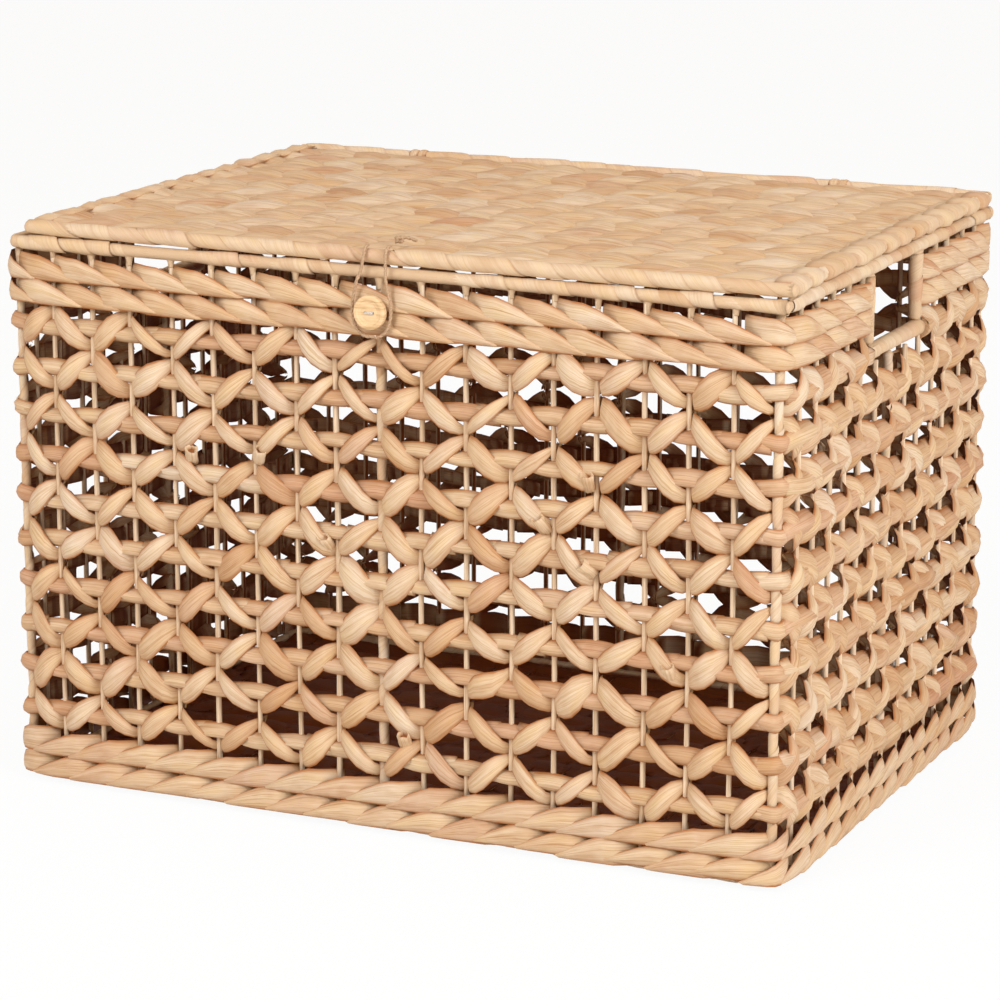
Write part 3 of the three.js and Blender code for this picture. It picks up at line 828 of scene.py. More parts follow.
def petals(side):
    bays, half = WALLS[side][:2]
    place = wall_place(side)
    shape = SHORT_WALL_PETAL if side in SHORT_WALLS else LONG_WALL_PETAL
    lines = stake_lines[side].copy()
    lines[0] = POST_COVER - half
    lines[-1] = half - POST_COVER
    s = EASED * (1 + 2 * OVERRUN) - OVERRUN
    swell = np.sin(math.pi * np.clip(s, 0, 1))
    laid = []

    def breadth(skew):
        return np.sin(math.pi * np.clip(s + skew * swell, 0, 1)) ** PETAL_ROUND

    for row, height in enumerate(row_heights):
        for bay in range(bays):
            start, end = lines[bay], lines[bay + 1]
            if side in SHORT_WALLS and row == 0 and min(abs(start), abs(end)) < handle_half:
                continue
            tip = PETAL_TIP * chance.normal(1, TIP_VARIES)
            fall = PETAL_FALL * chance.normal(1, FALL_VARIES)
            plump = shape["swell"] * chance.normal(1, SWELL_VARIES)
            skew = chance.normal(0, SKEW_VARIES)
            upper = tip - fall * s + plump * breadth(skew)
            lower = fall * (1 - s) - tip - plump * breadth(-skew)
            bulge = (shape["bulge"] + chance.normal(0, BULGE_VARIES)) * swell ** shape["rise"]
            first = BEHIND_POST if bay == 0 else BEHIND_STAKE
            last = BEHIND_POST if bay == bays - 1 else BEHIND_STAKE
            if (bay + row) % 2 == 0:
                upper, lower = upper[::-1], lower[::-1]
            sag = row_sag[side][row, bay] * (1 - s) + row_sag[side][row, bay + 1] * s
            laid.append(lay_strip(
                over_core(place, height + sag[:, None], shape["saddle"]),
                start + (end - start) * s,
                first + (last - first) * s + bulge - PETAL_CROWN * swell,
                height + sag + (upper + lower) / 2,
                (upper - lower) / 2,
                PETAL_CROWN * swell + PETAL_EDGE,
                LEAF_THICKNESS + (PETAL_BACK - PETAL_CROWN) * swell,
                any_tone(*PETAL_TONE),
                any_blush(*PETAL_BLUSH),
            ))
    return laid


# %% [markdown]
# Under the petals each row has its core: a broad strip, folded round, that runs straight along the outside
# of the stakes. It shows between the petals, which push it a little up at one stake and down at the next.
# Cores are often pinkish or grey, because the poorer leaf goes where it shows least, and their tone holds
# for a few bays at a time. On the short walls they are fuller, and fill more of the windows.

# %% Cores of the rows
CORE_OUT = 1.0
CORE_SINK = 1.4
CORE_SPAN = 0.8
CORE_RUN = 4
CORE_PUSH = 1.2
CORE_HALF = 5.3
CORE_CROWN = 5.8
CORE_BACK = 0.4
SHORT_WALL_CORE = 1.35
CORE_PINCH = 0.15
CORE_FLATTEN = 0.2
CORE_OUT_VARIES = 0.2
CORE_HALF_VARIES = 0.07
CORE_TONE_VARIES = 0.04
CORE_TONE = (0.46, 0.2)
CORE_BLUSH = (0.15, 0.3)


def cores(side):
    bays = WALLS[side][0]
    place = wall_place(side)
    lines = stake_lines[side]
    stakes = range(1, bays) if side in SHORT_WALLS else range(bays + 1)
    a = np.linspace(-CORE_SPAN, CORE_SPAN, STATIONS)
    showing = np.cos(math.pi / 2 * a / CORE_SPAN)
    pinch = 1 - CORE_PINCH + CORE_PINCH * showing
    fullness = SHORT_WALL_CORE if side in SHORT_WALLS else 1
    laid = []
    for row, height in enumerate(row_heights):
        first_run = chance.integers(0, CORE_RUN)
        tones = [any_tone(*CORE_TONE) for _ in range(bays)]
        blushes = [any_blush(*CORE_BLUSH) for _ in range(bays)]
        for stake in stakes:
            along = lines[stake] + a * bay_width
            if side in SHORT_WALLS and row == 0:
                if abs(lines[stake]) < handle_half:
                    continue
                stop = handle_half + CORE_OUT
                along = np.where(lines[stake] > 0, np.maximum(along, stop), np.minimum(along, -stop))
            run = (stake + first_run) // CORE_RUN
            push = CORE_PUSH if (stake + row) % 2 == 0 else -CORE_PUSH
            laid.append(lay_strip(
                place,
                along,
                CORE_OUT - CORE_SINK * (1 - showing) + chance.normal(0, CORE_OUT_VARIES),
                height + row_sag[side][row, stake] + push * np.cos(math.pi * a),
                fullness * CORE_HALF * pinch * chance.normal(1, CORE_HALF_VARIES),
                fullness * CORE_CROWN * (1 - CORE_FLATTEN + CORE_FLATTEN * showing),
                CORE_BACK,
                tones[run] + chance.normal(0, CORE_TONE_VARIES),
                blushes[run],
                ends=0.3,
            ))
    return laid


# %% [markdown]
# Where a strip of leaf ends, the weaver tucks the new one in and leaves a short cut end standing beside the
# stake. The photograph shows some of them on the front wall. One is modelled as a short tube: a cylinder with
# both ends inset and pushed in, so that the cut is hollow. Each copy is crumpled a little differently.

# %% Cut ends of leaf
STUB_SIDES = 12
STUB_RADIUS = 4.2
STUB_FLATTENED = 0.8
STUB_LENGTH = 11
STUB_OUT = 5.0
STUB_CRUMPLE = 0.09
STUB_WALL = 0.25
STUB_INNER_RIM = 0.1
STUB_HOLLOW = 0.3
HOLLOW_RADIUS = 0.7
STUB_LEAN = (0.5, 0.25)
STUB_TURN = (0, 0.35)
STUB_TONE = (0.6, 0.1)
# Along the front wall and up it
STUB_PLACES = [(134, 229), (105, 201), (134, 178), (185, 123), (-78, 223), (17, 60), (-34, 175), (-124, 219)]

stub_model = add_cylinder(STUB_SIDES, 1, 1)
cut_lengthwise(stub_model, 2)
select_faces(stub_model, is_end)
bpy.ops.mesh.inset(thickness=STUB_WALL)
bpy.ops.mesh.inset(thickness=STUB_INNER_RIM, depth=-STUB_HOLLOW)
bpy.ops.object.mode_set(mode="OBJECT")
stub_mesh = stub_model.data
add_leaf_layers(stub_mesh)
bpy.data.objects.remove(stub_model)
stub_points = np.array([vertex.co for vertex in stub_mesh.vertices])
hollow = np.linalg.norm(stub_points[:, :2], axis=1) < HOLLOW_RADIUS
print("one cut end has", len(stub_mesh.polygons), "faces")


def cut_end(place, along, up):
    """A copy of the stub on a wall, leaning outwards and crumpled."""
    lean = chance.normal(*STUB_LEAN)
    turn = chance.normal(*STUB_TURN)
    sides = 1 + STUB_CRUMPLE * chance.normal(0, 1, stub_points.shape)
    x, y, z = (stub_points * sides * (STUB_RADIUS, STUB_RADIUS * STUB_FLATTENED, STUB_LENGTH)).T
    tilted_out = y * math.cos(lean) - z * math.sin(lean)
    tilted_up = y * math.sin(lean) + z * math.cos(lean)
    points = place(
        along + x * math.cos(turn) - tilted_up * math.sin(turn),
        STUB_OUT - tilted_out,
        up + x * math.sin(turn) + tilted_up * math.cos(turn),
    )
    mesh = stub_mesh.copy()
    mesh.vertices.foreach_set("co", (points * MM).ravel())
    grain = np.column_stack([z, np.arctan2(y, x) * STUB_RADIUS]) * MM + chance.uniform(0, NOISE_ROOM, 2)
    facts = np.zeros((len(stub_points), 4))
    # Painted shade in the hollow of the cut: the darkest tone and full edge brown
    facts[:, 0] = np.where(hollow, 0.1, any_tone(*STUB_TONE))
    facts[:, 2] = np.where(hollow, 1, 0.4)
    write_leaf(mesh, grain, facts)
    return add_object("stub", mesh)


# %% [markdown]
# The star weave of a wall is one piece of work on the real box, and one solid in the frame, so all its strips
# are joined into one mesh. Joining comes last: until then each strip is a small mesh that is easy to place.

# %% Star weave of the four walls
for side in WALLS:
    laid = petals(side) + cores(side)
    if side == "front":
        laid += [cut_end(wall_place(side), along, up) for along, up in STUB_PLACES]
    finish_joined(laid, f"woven_star_{side}", "basket", "leaf_weave", wall_leaf, f"star_weave_{side}")

# %% [markdown]
# The bands under the rim and at the foot are twined: two strands go along the wall together and cross
# between every two stakes, so one passes in front of a stake while the other passes behind it. From the
# front that reads as a flat rope. Each strip here is one pass: it comes from behind a stake, swings out over
# the next one and goes behind the third. Its head fills the band, and its tail narrows to a point along the
# lower edge, over the head of the next pass. The two strands differ in tone, so every other pass is alike.
# The lean says which way the rope is laid, down to the right under the rim and up to the right at the foot.
# Beside a handle the strips turn in behind its post.

# %% Twined bands
DOWN_RIGHT = 1
UP_RIGHT = -1
TAIL_START = -0.35
TAIL_END = 0.93
TAIL_CURVE = 1.35
TAIL_LIFT = 0.25
TURN_BACK = 0.7
THINNEST = 0.3
PASS_BACK = 0.6
BAND_OUT = 3.4
BAND_SWING = 3.5
BAND_CROWN = 2.6
BAND_SPARE = 0.9
BAND_ENDS = 0.6
PASS_HEIGHT_VARIES = 0.4
PASS_HALF_VARIES = 0.05
PASS_OUT_VARIES = 0.3
PASS_TONE_VARIES = 0.13
PASS_BLUSH_VARIES = 0.15
PASS_PALER = 0.05
STRAND_TONE = (0.56, 0.1)
STRAND_BLUSH = (0.05, 0.2)
NO_LIMITS = (-1000, 1000)
UNDER_POST = 5
TUCK_LENGTH = 12


def twined_pass(place, centre, height, lean, half, middle_out, limits, leaf):
    """One pass: it is as wide as the band, and along the tail its upper edge falls to the lower one."""
    a = np.linspace(-1, 1, STATIONS)
    tail = np.clip((a - TAIL_START) / (TAIL_END - TAIL_START), 0, 1)
    width = half * (1 - tail ** TAIL_CURVE)
    goes_back = np.where(a > 0, (a - TURN_BACK) / (1 - TURN_BACK), -2 * a - 1)
    swing_out = np.cos(math.pi * np.clip(goes_back, 0, 1)) + TAIL_LIFT * a
    return lay_strip(
        place,
        np.clip(centre + lean * a * bay_width, *limits),
        middle_out + BAND_SWING * swing_out - BAND_CROWN / 2,
        height + width - half,
        np.maximum(width, THINNEST),
        BAND_CROWN * (BAND_ENDS + (1 - BAND_ENDS) * np.cos(math.pi / 2 * a)),
        PASS_BACK,
        *leaf,
        ends=0.8,
    )


def tucked_in(place, limits):
    """The place function of strips that turn in behind a post at both limits."""

    def tuck(along, out, up):
        room = np.minimum(along - limits[0], limits[1] - along)
        return place(along, out * np.sqrt(np.clip(room / TUCK_LENGTH, 0, 1)), up)

    return tuck


def twined_band(side, node, lean, limits=NO_LIMITS):
    low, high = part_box(node)
    reach = WALLS[side][1] + POST_COVER
    place = tucked_in(wall_place(side), limits)
    lines = stake_lines[side]
    stakes = lines[1:-1] if side in SHORT_WALLS else lines
    crossed = [line for line in (*stakes, *limits) if limits[0] <= line <= limits[1] and abs(line) < reach]
    strands = [(any_tone(*STRAND_TONE), any_blush(*STRAND_BLUSH)) for _ in range(2)]
    laid = []
    for number, line in enumerate(sorted(crossed)):
        tone, blush = strands[number % 2]
        laid.append(twined_pass(
            place,
            line,
            (low.z + high.z) / 2 / MM + chance.normal(0, PASS_HEIGHT_VARIES),
            lean,
            ((high.z - low.z) / 2 / MM + BAND_SPARE) * chance.normal(1, PASS_HALF_VARIES),
            BAND_OUT + chance.normal(0, PASS_OUT_VARIES),
            limits,
            (any_tone(tone, PASS_TONE_VARIES), any_blush(blush - PASS_PALER, PASS_BLUSH_VARIES)),
        ))
    return finish_joined(laid, f"twined_{node}", "basket", "leaf_weave", wall_leaf, node)


band_end = handle_half - UNDER_POST
BESIDE_HANDLE = {"a": (NO_LIMITS[0], -band_end), "b": (band_end, NO_LIMITS[1])}
for side in WALLS:
    for level in ("lower", "upper"):
        twined_band(side, f"foot_band_{level}_{side}", UP_RIGHT)
        if side in SHORT_WALLS:
            for end, limits in BESIDE_HANDLE.items():
                twined_band(side, f"rim_band_{level}_{side}_{end}", DOWN_RIGHT, limits)
        else:
            twined_band(side, f"rim_band_{level}_{side}", DOWN_RIGHT)

# %% [markdown]
# The stakes are thin peeled sticks. A cylinder is cut into short lengths, so that each copy can have the
# slight crookedness of a grown stick. They stand in one comb for each wall, as the frame has them.

# %% Peeled stick material
STICK_SHADES = [(0.3, (0.56, 0.38, 0.22)), (0.6, (0.78, 0.6, 0.41)), (0.8, (0.86, 0.71, 0.52))]
stick, tree, shader = new_material("peeled stick", roughness=0.55)
grain = add_noise(tree, own_space(tree), (900, 900, 30), 3)
shade = add_ramp(tree, grain, *STICK_SHADES)
# Painted shade: the sides of the sticks that face into the box are darkened
tree.links.new(paint_inside_shade(tree, shade, WITHIN_WALLS, start=0.62), shader.inputs["Base Color"])
add_bump(tree, grain, shader, strength=0.3, depth=0.3 * MM)
print("stick material has", len(tree.nodes), "nodes")

# %% Stakes
STAKE_SIDES = 8
STAKE_CUTS = 9
STAKE_DIAMETER = 3.4
CROOKED = 0.4
CROOK_PHASE = 9
THICK_VARIES = 0.05
# The stick has leaf layers too, because the rim is made with copies of it: lightness, ends, edges and blush
PLAIN_LEAF = (0.5, 0, 0, 0)


def tint_all(mesh, facts):
    """Gives a new mesh the leaf layers, with the same facts all over."""
    add_leaf_layers(mesh)
    mesh.color_attributes["leaf"].data.foreach_set("color", np.tile(facts, len(mesh.vertices)))


stake_model = add_cylinder(STAKE_SIDES, 0.5, 1)
cut_lengthwise(stake_model, STAKE_CUTS)
stake_mesh = stake_model.data
tint_all(stake_mesh, PLAIN_LEAF)
bpy.data.objects.remove(stake_model)
stake_points = np.array([vertex.co for vertex in stake_mesh.vertices])
climb = stake_points[:, 2] + 0.5


def stand_stake(place, along, bottom, top, thick_below, thick_above, crook, flare=0.0):
    """A copy of the stick from bottom to top, a little crooked, that may flare along the wall at its top."""
    sway = chance.normal(0, 1, 4)
    wave = np.sin(2 * math.pi * climb + CROOK_PHASE * sway[1])
    bend = crook * (sway[0] * wave + sway[2] * np.sin(math.pi * climb))
    thick = (thick_below + (thick_above - thick_below) * climb) * (1 + THICK_VARIES * sway[3])
    points = place(
        along + bend + stake_points[:, 0] * (thick + flare * climb ** 4),
        stake_points[:, 1] * thick,
        bottom + climb * (top - bottom),
    )
    mesh = stake_mesh.copy()
    mesh.vertices.foreach_set("co", (points * MM).ravel())
    mesh.update()
    return add_object("stood_stake", mesh)


for side in WALLS:
    low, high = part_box(f"stakes_{side}")
    stood = []
    for line in stake_lines[side][1:-1]:
        if line == 0:
            continue
        under_handle = side in SHORT_WALLS and abs(line) < handle_half
        top = handle_low if under_handle else high.z / MM
        stood.append(stand_stake(
            wall_place(side), line, low.z / MM, top, STAKE_DIAMETER, STAKE_DIAMETER, CROOKED,
        ))
    finish_joined(stood, f"peeled_stakes_{side}", "basket", "stake", stick, f"stakes_{side}")

# %% [markdown]
# Posts, rims, handles and the rods of the lid are all the same thing: a stick wound with a long strip of
# leaf. The Screw modifier does what the hands do. The edge of the strip, drawn as a short line beside the
# axis, is turned round the stick and moved on by one lap at each turn, so that each lap covers the start of
# the last. The winding is made straight and then carried onto its line, with laps of uneven width and height.

# %% Wind a rod
WIND_STEPS = 12
# Height in millimetres and place in laps of the points across the strip
LAP_PROFILE = np.array([(-0.7, -0.3), (-0.3, 0.1), (0.0, 0.5), (0.05, 0.9), (-0.2, 1.02)])
LAP_EDGE = np.array([0.5, 0.2, 0, 0.3, 0.8])
LAP_DRIFT = 0.2
LAP_TONE_VARIES = 0.2
LAP_BLUSH = (-0.1, 0.25)
MOST_LAP_BLUSH = 0.7
STICK_END_LEAF = (0.5, 0, 0.3, 0.1)
STICK_SIDES = 16
WRAP_THICKNESS = 0.6


def wind_rod(line, length, radius, lap, tone, lumps):
    """A strip of leaf wound along a line function, all in metres."""
    turns = max(2, round(length / lap))
    lap = length / turns
    profile = bpy.data.meshes.new("lap")
    corners = [(radius + lift * MM, 0, along * lap) for lift, along in LAP_PROFILE]
    profile.from_pydata(corners, [(index, index + 1) for index in range(len(corners) - 1)], [])
    wound = add_object("winding", profile)
    use_alone(wound)
    screw = wound.modifiers.new("turns", "SCREW")
    screw.axis = "Z"
    screw.angle = 2 * math.pi
    screw.screw_offset = lap
    screw.iterations = turns
    screw.steps = WIND_STEPS
    screw.render_steps = WIND_STEPS
    screw.use_smooth_shade = True
    bpy.ops.object.modifier_apply(modifier="turns")

    mesh = wound.data
    points = np.empty(len(mesh.vertices) * 3)
    mesh.vertices.foreach_get("co", points)
    points = points.reshape(-1, 3)
    across = np.arange(len(points)) % len(LAP_PROFILE)
    step = np.arange(len(points)) // len(LAP_PROFILE)
    share = step / WIND_STEPS
    marks = np.arange(turns + 3)
    swell = np.interp(share, marks, chance.normal(0, lumps, turns + 3)) * MM
    drift = np.interp(share, marks, chance.normal(0, LAP_DRIFT, turns + 3)) * lap
    run = np.clip(points[:, 2] + drift, 0, length)
    scale = (radius + swell) / radius
    base, first, second = line(run)
    places = base + first * (points[:, 0] * scale)[:, None] + second * (points[:, 1] * scale)[:, None]
    mesh.vertices.foreach_set("co", places.ravel())

    round_run = step * 2 * math.pi * radius / WIND_STEPS + chance.uniform(0, NOISE_ROOM)
    grain = np.column_stack([round_run, LAP_PROFILE[across, 1] * lap])
    tones = tone + chance.normal(0, LAP_TONE_VARIES, turns + 3)
    blushes = chance.normal(*LAP_BLUSH, turns + 3)
    facts = np.zeros((len(points), 4))
    facts[:, 0] = np.clip(np.interp(share, marks, tones), 0, 1)
    facts[:, 2] = LAP_EDGE[across]
    facts[:, 3] = np.clip(np.interp(share, marks, blushes), 0, MOST_LAP_BLUSH)
    add_leaf_layers(mesh)
    write_leaf(mesh, grain, facts)
    return wound


def stick_inside(start, end, radius):
    """The stick in the winding, with the leaf folded over its round ends."""
    core = add_cylinder(STICK_SIDES, radius, (end - start).length + radius)
    select_faces(core, is_end)
    bpy.ops.mesh.bevel(offset=radius * 0.6, segments=3)
    bpy.ops.object.mode_set(mode="OBJECT")
    bpy.ops.object.shade_smooth_by_angle(angle=math.radians(50))
    turn = (end - start).to_track_quat("Z", "Y").to_matrix().to_4x4()
    core.data.transform(Matrix.Translation((start + end) / 2) @ turn)
    tint_all(core.data, STICK_END_LEAF)
    return core


def straight_line(start, end):
    """The line function of a straight rod: points on it and two directions across it."""
    forward = (end - start).normalized()
    aside = np.array(forward.orthogonal().normalized())
    third = np.cross(forward, aside)

    def line(run):
        across = np.ones((len(run), 1))
        return np.array(start) + run[:, None] * np.array(forward), across * aside, across * third

    return line


def wind_node(node, lap, body, tone=0.55, lumps=0.3, slim=0.0, trim=(0, 0), extras=()):
    """A wound rod in place of a straight rod of the frame, slimmer and trimmed by so many millimetres."""
    low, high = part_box(node)
    size = high - low
    axis = max(range(3), key=lambda index: size[index])
    radius = min(size) / 2 - slim * MM
    start = (low + high) / 2
    end = start.copy()
    start[axis] = low[axis] + trim[0] * MM
    end[axis] = high[axis] - trim[1] * MM
    wound = wind_rod(straight_line(start, end), (end - start).length, radius, lap * MM, tone, lumps)
    inner = stick_inside(start, end, radius - WRAP_THICKNESS * MM)
    piece = join([wound, inner, *extras])
    leaf = lid_wrap if body == "lid" else wall_wrap
    return finish_piece(piece, f"wound_{node}", body, "leaf_wrap", leaf, node)


# %% [markdown]
# The posts stand at the corners and in the middle of each wall, and each handle hole has one at both sides,
# with a bar between them. They are wound one by one, each kind in laps of its own width. At the corners and
# the handles the winding is slimmer than its solid, so that the leaf of weave and bands has room round it.

# %% Posts and handles
CORNER_SLIM = 1.8
HANDLE_SLIM = 1.2
BAR_SLIM = 2.0
CORNER_LAP = 19
CENTRE_LAP = 17
BAR_LAP = 14
HANDLE_LAP = 13
for depth_name in ("front", "back"):
    for side_name in ("left", "right"):
        wind_node(f"corner_post_{depth_name}_{side_name}", CORNER_LAP, "basket", tone=0.66, slim=CORNER_SLIM)
for side in WALLS:
    wind_node(f"centre_post_{side}", CENTRE_LAP, "basket", tone=0.6, lumps=0.2)
for side in SHORT_WALLS:
    wind_node(f"handle_bar_{side}", BAR_LAP, "basket", tone=0.5, slim=BAR_SLIM)
    for end in ("a", "b"):
        wind_node(f"handle_post_{side}_{end}", HANDLE_LAP, "basket", tone=0.48, slim=HANDLE_SLIM)

# %% [markdown]
# The rim rods are wound more closely, and at each stake the leaf runs a little way down the stick, which
# leaves a small funnel under the rim. The funnel is the same short stick, thick above and thin below. The
# left end of the front rod is cut off flush with the corner post.

# %% Rim rods
RIM_LAP = 15
FUNNEL_TOP = 4.4
FUNNEL_FOOT = 3.4
FUNNEL_FLARE = 10
FUNNEL_LENGTH = 9
FUNNEL_VARIES = 1.5
FRONT_TRIM = (4, 0)
for side in WALLS:
    low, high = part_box(f"rim_rod_{side}")
    rim_middle = (low.z + high.z) / 2 / MM
    funnels = []
    for line in stake_lines[side][1:-1]:
        if side in SHORT_WALLS and abs(line) < handle_half:
            continue
        length = FUNNEL_LENGTH + chance.normal(0, FUNNEL_VARIES)
        funnels.append(stand_stake(
            wall_place(side), line, rim_middle - length, rim_middle - 1,
            FUNNEL_FOOT, FUNNEL_TOP, 0, FUNNEL_FLARE,
        ))
    trim = FRONT_TRIM if side == "front" else (0, 0)
    wind_node(f"rim_rod_{side}", RIM_LAP, "basket", tone=0.54, lumps=0.55, trim=trim, extras=funnels)

# %% [markdown]
# The rod round the foot is the same winding on a closed line, a rectangle with round corners. The line
# function walks round it: along a side, then round a quarter circle, four times.

# %% Foot rod
FOOT_CORNER = 12 * MM
FOOT_LAP = 14 * MM
FOOT_SLIM = 0.8 * MM
foot_low, foot_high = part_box("base_rim")
foot_radius = (foot_high.z - foot_low.z) / 2
foot_half = [foot_high.x - foot_radius - FOOT_CORNER, foot_high.y - foot_radius - FOOT_CORNER]
quarter = FOOT_CORNER * math.pi / 2
foot_length = 4 * (foot_half[0] + foot_half[1] + quarter)


def foot_line(run):
    """The line function of the foot rod: points on it, and the directions out of the box and up."""
    points = np.zeros((len(run), 3))
    outward = np.zeros((len(run), 3))
    left = np.array(run)
    angle = -math.pi / 2
    done = np.zeros(len(run), dtype=bool)
    for corner_x, corner_y in ((1, -1), (1, 1), (-1, 1), (-1, -1)):
        centre = np.array([corner_x * foot_half[0], corner_y * foot_half[1]])
        way_out = np.array([math.cos(angle), math.sin(angle)])
        way_on = np.array([-way_out[1], way_out[0]])
        side_length = 2 * abs(way_on @ np.array(foot_half))
        on_side = ~done & (left <= side_length)
        points[on_side, :2] = centre + FOOT_CORNER * way_out + (left[on_side] - side_length)[:, None] * way_on
        outward[on_side, :2] = way_out
        done |= on_side
        left = left - side_length
        on_corner = ~done & (left <= quarter)
        turn = angle + left[on_corner] / FOOT_CORNER
        outward[on_corner, :2] = np.column_stack([np.cos(turn), np.sin(turn)])
        points[on_corner, :2] = centre + FOOT_CORNER * outward[on_corner, :2]
        done |= on_corner
        left = left - quarter
        angle += math.pi / 2
    points[~done, :2] = points[0, :2]
    outward[~done, :2] = (0, -1)
    points[:, 2] = foot_radius
    return points, outward, np.tile([0.0, 0.0, 1.0], (len(run), 1))


foot_rod = wind_rod(foot_line, foot_length, foot_radius - FOOT_SLIM, FOOT_LAP, tone=0.45, lumps=0.2)
finish_piece(foot_rod, "wound_base_rim", "basket", "leaf_wrap", wall_wrap, "base_rim")

# %% [markdown]
# The lid is a frame of four wound rods filled with twined leaf. From above that is a field of low pillows,
# one for each stick and row, where a strip comes up over a stick and dips under the next strip on both
# sides. The rows lean to the right and to the left by turns. Above and below, a layer of pillows covers a
# plate, which stands for the sticks and the leaf ends inside, so that no light comes through.

# %% Twined panels
PANEL_REACH = 0.7
PANEL_DIP = 1.0
PANEL_CROWN = 3.0
PANEL_BACK = 0.5
PANEL_LEAN = 5.0
PANEL_HALF = 0.6
PANEL_SLACK = (0.8, 2.0)
PILLOW_ENDS = 0.6
PILLOW_DROP = 0.4
# How far the pillows differ: shares of the pitch and of a size, millimetres across the row, and tone
PITCH_VARIES = 0.1
PILLOW_VARIES = 0.05
ROW_VARIES = 1.4
PANEL_TONE_VARIES = 0.24
PANEL_BLUSH = (-0.12, 0.2)
PLATE_DEPTH = 4.0
PLATE_LEAF = (0.5, 0, 0.2, 0.05)


def panel_place(low, high, face):
    """The place function of the upper side of a panel, or of its lower side if face is -1."""
    level = (low.z + high.z) / 2 / MM

    def place(along, out, up):
        across = np.clip(up + 0 * along, low.y / MM, high.y / MM)
        return np.stack([along, across, level + face * out], axis=-1)

    return place


def inner_plate(low, high, thickness):
    """The sticks and ends inside a twined panel, as one thin plate with bevelled edges."""
    bpy.ops.object.select_all(action="DESELECT")
    bpy.ops.mesh.primitive_cube_add(size=1, calc_uvs=False)
    plate = bpy.context.object
    plate.data.transform(Matrix.Diagonal((high.x - low.x, high.y - low.y, thickness, 1)))
    plate.data.transform(Matrix.Translation((low + high) / 2))
    bpy.ops.object.mode_set(mode="EDIT")
    bpy.ops.mesh.select_all(action="SELECT")
    bpy.ops.mesh.bevel(offset=thickness * 0.3, segments=2)
    bpy.ops.object.mode_set(mode="OBJECT")
    tint_all(plate.data, PLATE_LEAF)
    return plate


def twined_panel(node, rows, lightness, overrun):
    """Twined rows along X that fill the box of a node, above and below a plate."""
    low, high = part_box(node)
    half_thick = (high.z - low.z) / 2 / MM
    row_width = (high.y - low.y) / rows / MM
    bays = round((high.x - low.x) / MM / bay_width)
    pitch = (high.x - low.x) / MM / bays
    limits = (low.x / MM - overrun, high.x / MM + overrun)
    laid = [inner_plate(low, high, 2 * (half_thick - PLATE_DEPTH) * MM)]
    a = np.linspace(-1, 1, STATIONS)
    dome = np.cos(math.pi / 2 * a)
    taper = PILLOW_ENDS + (1 - PILLOW_ENDS) * dome
    for face in (1, -1):
        place = panel_place(low, high, face)
        for row in range(rows):
            lean = PANEL_LEAN if row % 2 == 0 else -PANEL_LEAN
            for bay in range(bays + 1):
                centre = low.x / MM + (bay + chance.normal(0, PITCH_VARIES)) * pitch
                laid.append(lay_strip(
                    place,
                    np.clip(centre + a * PANEL_REACH * pitch, *limits),
                    half_thick - PANEL_CROWN - PANEL_DIP * (1 - dome) - chance.uniform(*PANEL_SLACK),
                    low.y / MM + (row + 0.5) * row_width + lean * a + chance.normal(0, ROW_VARIES),
                    row_width * PANEL_HALF * taper * chance.normal(1, PILLOW_VARIES),
                    PANEL_CROWN * (PILLOW_DROP + (1 - PILLOW_DROP) * dome),
                    PANEL_BACK,
                    any_tone(lightness, PANEL_TONE_VARIES),
                    any_blush(*PANEL_BLUSH),
                    ends=0.7,
                    edges=0.8,
                ))
    return laid


# %% [markdown]
# The floor of the box is the same work as the lid, with a lower tone and a painted shade on all but its
# lower faces, both standing for the shade inside the box. The strips of the lid run on a little way into its
# side rods, so that no gap shows beside them. The floor stops at its own edge, inside the walls.

# %% Lid weave and woven floor
LID_ROWS = 14
BASE_ROWS = 14
LID_OVERRUN = 4.0
lid_strips = twined_panel("lid_weave", LID_ROWS, lightness=0.56, overrun=LID_OVERRUN)
finish_joined(lid_strips, "twined_lid", "lid", "leaf_weave", lid_leaf, "lid_weave")
# The lower tone of the floor is painted shade as well
base_strips = twined_panel("base_weave", BASE_ROWS, lightness=0.3, overrun=0.0)
finish_joined(base_strips, "twined_base", "basket", "leaf_weave", floor_leaf, "base_weave")

# %% [markdown]
# The front and back rods of the lid are wound in broad laps. At its left and right edges each strand of the
# lid turns over the side rod and comes back as the next row, so there the rod is hidden under pairs of
# strips that lean together, and the edge is a row of soft bumps.

# %% Edges of the lid
LID_LAP = 24
EDGE_RADIUS = 3.6
EDGE_REACH = 15
EDGE_LEAN = 3.0
EDGE_SINK = 0.9
EDGE_CROWN = 1.4
EDGE_HALF = 0.57
EDGE_BACK = 0.5
EDGE_EASE = 1.4
EDGE_NARROW = 2.2
EDGE_BUMP = 0.5
EDGE_SWELL = 0.6
EDGE_END_VARIES = 1
EDGE_ROW_VARIES = 0.5
EDGE_HALF_VARIES = 0.06
EDGE_TONE = (0.56, 0.15)
EDGE_BLUSH = (-0.1, 0.2)
SIDE_ROD_SLIM = 0.8
LID_ROD_SLIM = 0.6
BACK_TRIM = (4, 5)


def edge_place(node, way):
    """The place function of strips that turn over a side rod of the lid, from its top to its underside."""
    axis = middle(node) / MM
    turn_length = math.pi * EDGE_RADIUS

    def place(along, out, up):
        angle = np.clip(along / EDGE_RADIUS, 0, math.pi)
        flat = np.minimum(along, 0) - np.maximum(along - turn_length, 0)
        reach = EDGE_RADIUS + out
        across = axis.x + way * (flat + reach * np.sin(angle))
        return np.stack([across, up + 0 * across, axis.z + reach * np.cos(angle)], axis=-1)

    return place


